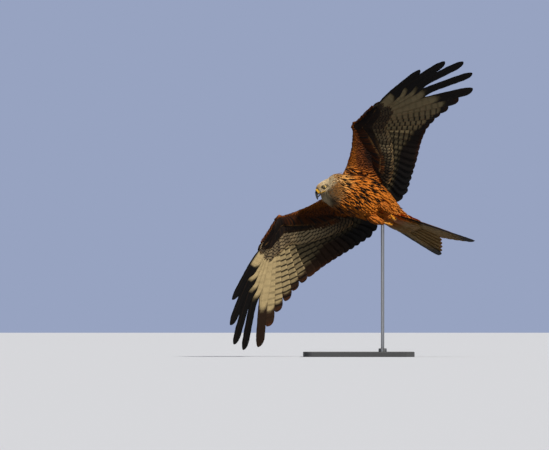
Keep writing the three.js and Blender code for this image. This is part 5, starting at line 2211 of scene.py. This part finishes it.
class BareParts:
    """Eyes, bill, cere, mouth corners, legs and claws, with the cell of each kind's mesh in metres."""

    FACE_CELL = 0.0004
    LEG_CELL = 0.0007
    CLAW_CELL = 0.0003
    LEG_THIN = 0.0011

    TOES = ("inner", "middle", "outer", "hind")

    def __init__(self, coat: "Coat") -> None:
        """Keeps the coat, whose skin the mouth's corners follow."""
        self.coat = coat

    def gape(self, side: int) -> Piece:
        """Yellow ridge along the corner of the mouth of one side."""
        line = curve_at(np.array(FACE.gape) * (1.0, side, 1.0), np.linspace(0.0, 3.0, 26))
        near, up = self.coat.onto_skin(HEAD.out(line))
        share = np.linspace(0.0, 1.0, len(line))
        thick = 1.9 * np.sqrt(np.maximum(0.02, 1.0 - share**3)) * MM
        tangent = unit(np.gradient(near, axis=0))
        across = unit(np.cross(up, tangent))
        angles = np.arange(14) / 14.0 * 2.0 * math.pi
        points = near[:, None] + up[:, None] * (0.8 * MM + np.cos(angles) * 0.75 * thick[:, None])[..., None]
        points = points + across[:, None] * (np.sin(angles) * thick[:, None])[..., None]
        return Make.tube(f"mouth_corner_{SIDES[side]}", ATTITUDE.place(points), len(line), len(angles))

    def dress(self, piece: Piece, finish: Material, slot: str, *nodes: str) -> None:
        """Gives a piece its finish and settles it."""
        piece.data.materials.append(finish)
        settle(piece, slot, *nodes)

    def build(self) -> None:
        """Makes and dresses all bare parts."""
        cere = WaxFinish("cere_skin", (255, 200, 52), 900.0, 0.00008, 0.3, 0.12).material()
        leg = WaxFinish("leg_scales", (246, 168, 8), 340.0).material()
        lid = PlainFinish("lid_skin", (30, 25, 22), 0.5, grain=1500.0, relief=0.0003, mottle=0.35).material()
        bill, claw = HornFinish("bill_horn").material(), HornFinish("claw_horn", (46, 40, 36)).material()
        self.dress(Refined.piece("cere_skin", ("cere",), self.FACE_CELL, 12), cere, "yellow_skin", "cere")
        for name in ("bill_upper", "bill_lower"):
            self.dress(Refined.piece(f"{name}_horn", (name,), self.FACE_CELL, 14), bill, "bill_horn", name)
        for side, label in SIDES.items():
            eye = Eye(side)
            self.dress(eye.ball(), IrisFinish(side).material(), "eye", f"eye_{label}")
            self.dress(eye.lids(), lid, "pale_plumage")
            self.dress(self.gape(side), cere, "yellow_skin")
            nodes = (f"shank_{label}", f"foot_{label}")
            scales = Refined.piece(f"leg_{label}_scales", nodes, self.LEG_CELL, 3, self.LEG_THIN)
            self.dress(scales, leg, "yellow_skin", *nodes)
            for toe in self.TOES:
                name = f"claw_{label}_{toe}"
                self.dress(Refined.piece(f"{name}_horn", (name,), self.CLAW_CELL, 3), claw, "claw_horn", name)


@dataclass(frozen=True)
class Studio:
    """Pale floor, soft lights and the camera on the photo's line of sight."""

    distance: float = 30.0
    lens: float = 546.0
    aim: Triple = (-0.3031, 0.0, 0.4749)
    height: float = 0.13
    ambient: Triple = (0.075, 0.08, 0.09)
    backdrop: Shade = (151, 163, 193)
    sensor: float = 36.0
    clip: Pair = (1.0, 200.0)
    floor_radius: float = 60.0
    lamps: tuple[tuple[str, Triple, float, float, Triple], ...] = (
        ("key", (0.5, -0.52, 0.69), 3.7, 6.0, (1.0, 0.95, 0.86)),
        ("top", (-0.1, -0.05, 1.0), 0.8, 30.0, (1.0, 0.98, 0.95)),
        ("fill", (-0.3, -0.94, -0.12), 0.42, 40.0, (0.95, 0.97, 1.0)),
    )

    def build(self) -> None:
        """Makes the floor, the lights and the camera."""
        self.floor()
        for lamp in self.lamps:
            self.lamp(*lamp)
        world = bpy.data.worlds.new("studio")
        world.use_nodes = True
        graph = Graph(world.node_tree)
        seen = graph.node("ShaderNodeLightPath", {}).outputs["Is Camera Ray"]
        colours = {0: seen, 6: self.ambient, 7: linear(*self.backdrop)}
        shade = graph.node("ShaderNodeMix", {"data_type": "RGBA"}, colours)
        graph.feed(graph.tree.nodes["Background"].inputs["Color"], shade.outputs[2])
        bpy.context.scene.world = world
        bpy.context.scene.view_settings.view_transform = "Standard"
        self.camera()

    def floor(self) -> None:
        """Large pale floor."""
        bpy.ops.mesh.primitive_circle_add(vertices=96, radius=self.floor_radius, fill_type="NGON")
        floor = bpy.context.object
        floor.name = "studio_floor"
        floor.data.materials.append(PlainFinish("pale_floor", (206, 210, 220), 0.9, mottle=0.01).material())
        floor.visible_diffuse = False

    def lamp(self, name: str, place: Triple, power: float, soft: float, colour: Triple) -> None:
        """Even light from a direction, soft by an angle in degrees."""
        data = bpy.data.lights.new(name, "SUN")
        data.energy, data.angle, data.color = power, math.radians(soft), colour
        made = Make.linked(name, data)
        made.location = place
        made.rotation_euler = (-Vector(place)).to_track_quat("-Z", "Y").to_euler()

    def camera(self) -> None:
        """Long lens far away, as the photo was taken."""
        data = bpy.data.cameras.new("camera")
        data.lens = self.lens
        data.sensor_width = self.sensor
        data.clip_start, data.clip_end = self.clip
        made = Make.linked("camera", data)
        place = Vector((self.aim[0], -self.distance, self.height))
        made.location = place
        made.rotation_euler = (Vector(self.aim) - place).to_track_quat("-Z", "Y").to_euler()
        bpy.context.scene.camera = made


FLESH_NODES = (
    *("torso", "neck", "head", "tail", "wing_left_arm", "wing_left_hand"),
    *("wing_right_arm", "wing_right_hand", "thigh_left", "thigh_right"),
)


def dress_nodes() -> None:
    """Gives each CAD node that stays its finish."""
    finishes = {
        "stand_base": PlainFinish("satin_base", (78, 79, 82), 0.46, grain=900.0, mottle=0.08),
        "stand": PlainFinish("steel_rod", (176, 178, 182), 0.3, 1.0, grain=700.0, relief=0.0001, mottle=0.08),
    }
    made = {start: finish.material() for start, finish in finishes.items()}
    for name, node in frame["nodes"].items():
        start = next((start for start in made if name.startswith(start)), None)
        if start is None:
            continue
        node.data.materials.clear()
        node.data.materials.append(made[start])


def main() -> None:
    """Builds the bird, its stand's finishes and the studio."""
    logging.basicConfig(level=logging.INFO, format="%(message)s")
    Studio().build()
    wings = [Wing(LEFT_WING), Wing(RIGHT_WING)]
    vane = VaneFinish().material()
    skin = Skin(wings).build()
    skin.data.materials.clear()
    skin.data.materials.append(SkinFinish().material())
    coat = Coat(skin, Lie(wings))
    coat.mark_skin()
    settle(skin, "rufous_plumage", *FLESH_NODES)
    coat.build(CoatFinish().material())
    BareParts(coat).build()
    for wing in wings:
        for piece in (wing.flight(), wing.coverts()):
            piece.data.materials.append(vane)
            settle(piece, "wing_plumage", f"wing_{wing.pose.name}_arm", f"wing_{wing.pose.name}_hand")
    tail = Tail().feathers()
    tail.data.materials.append(vane)
    settle(tail, "tail_plumage", "tail")
    dress_nodes()


if __name__ == "__main__":
    main()
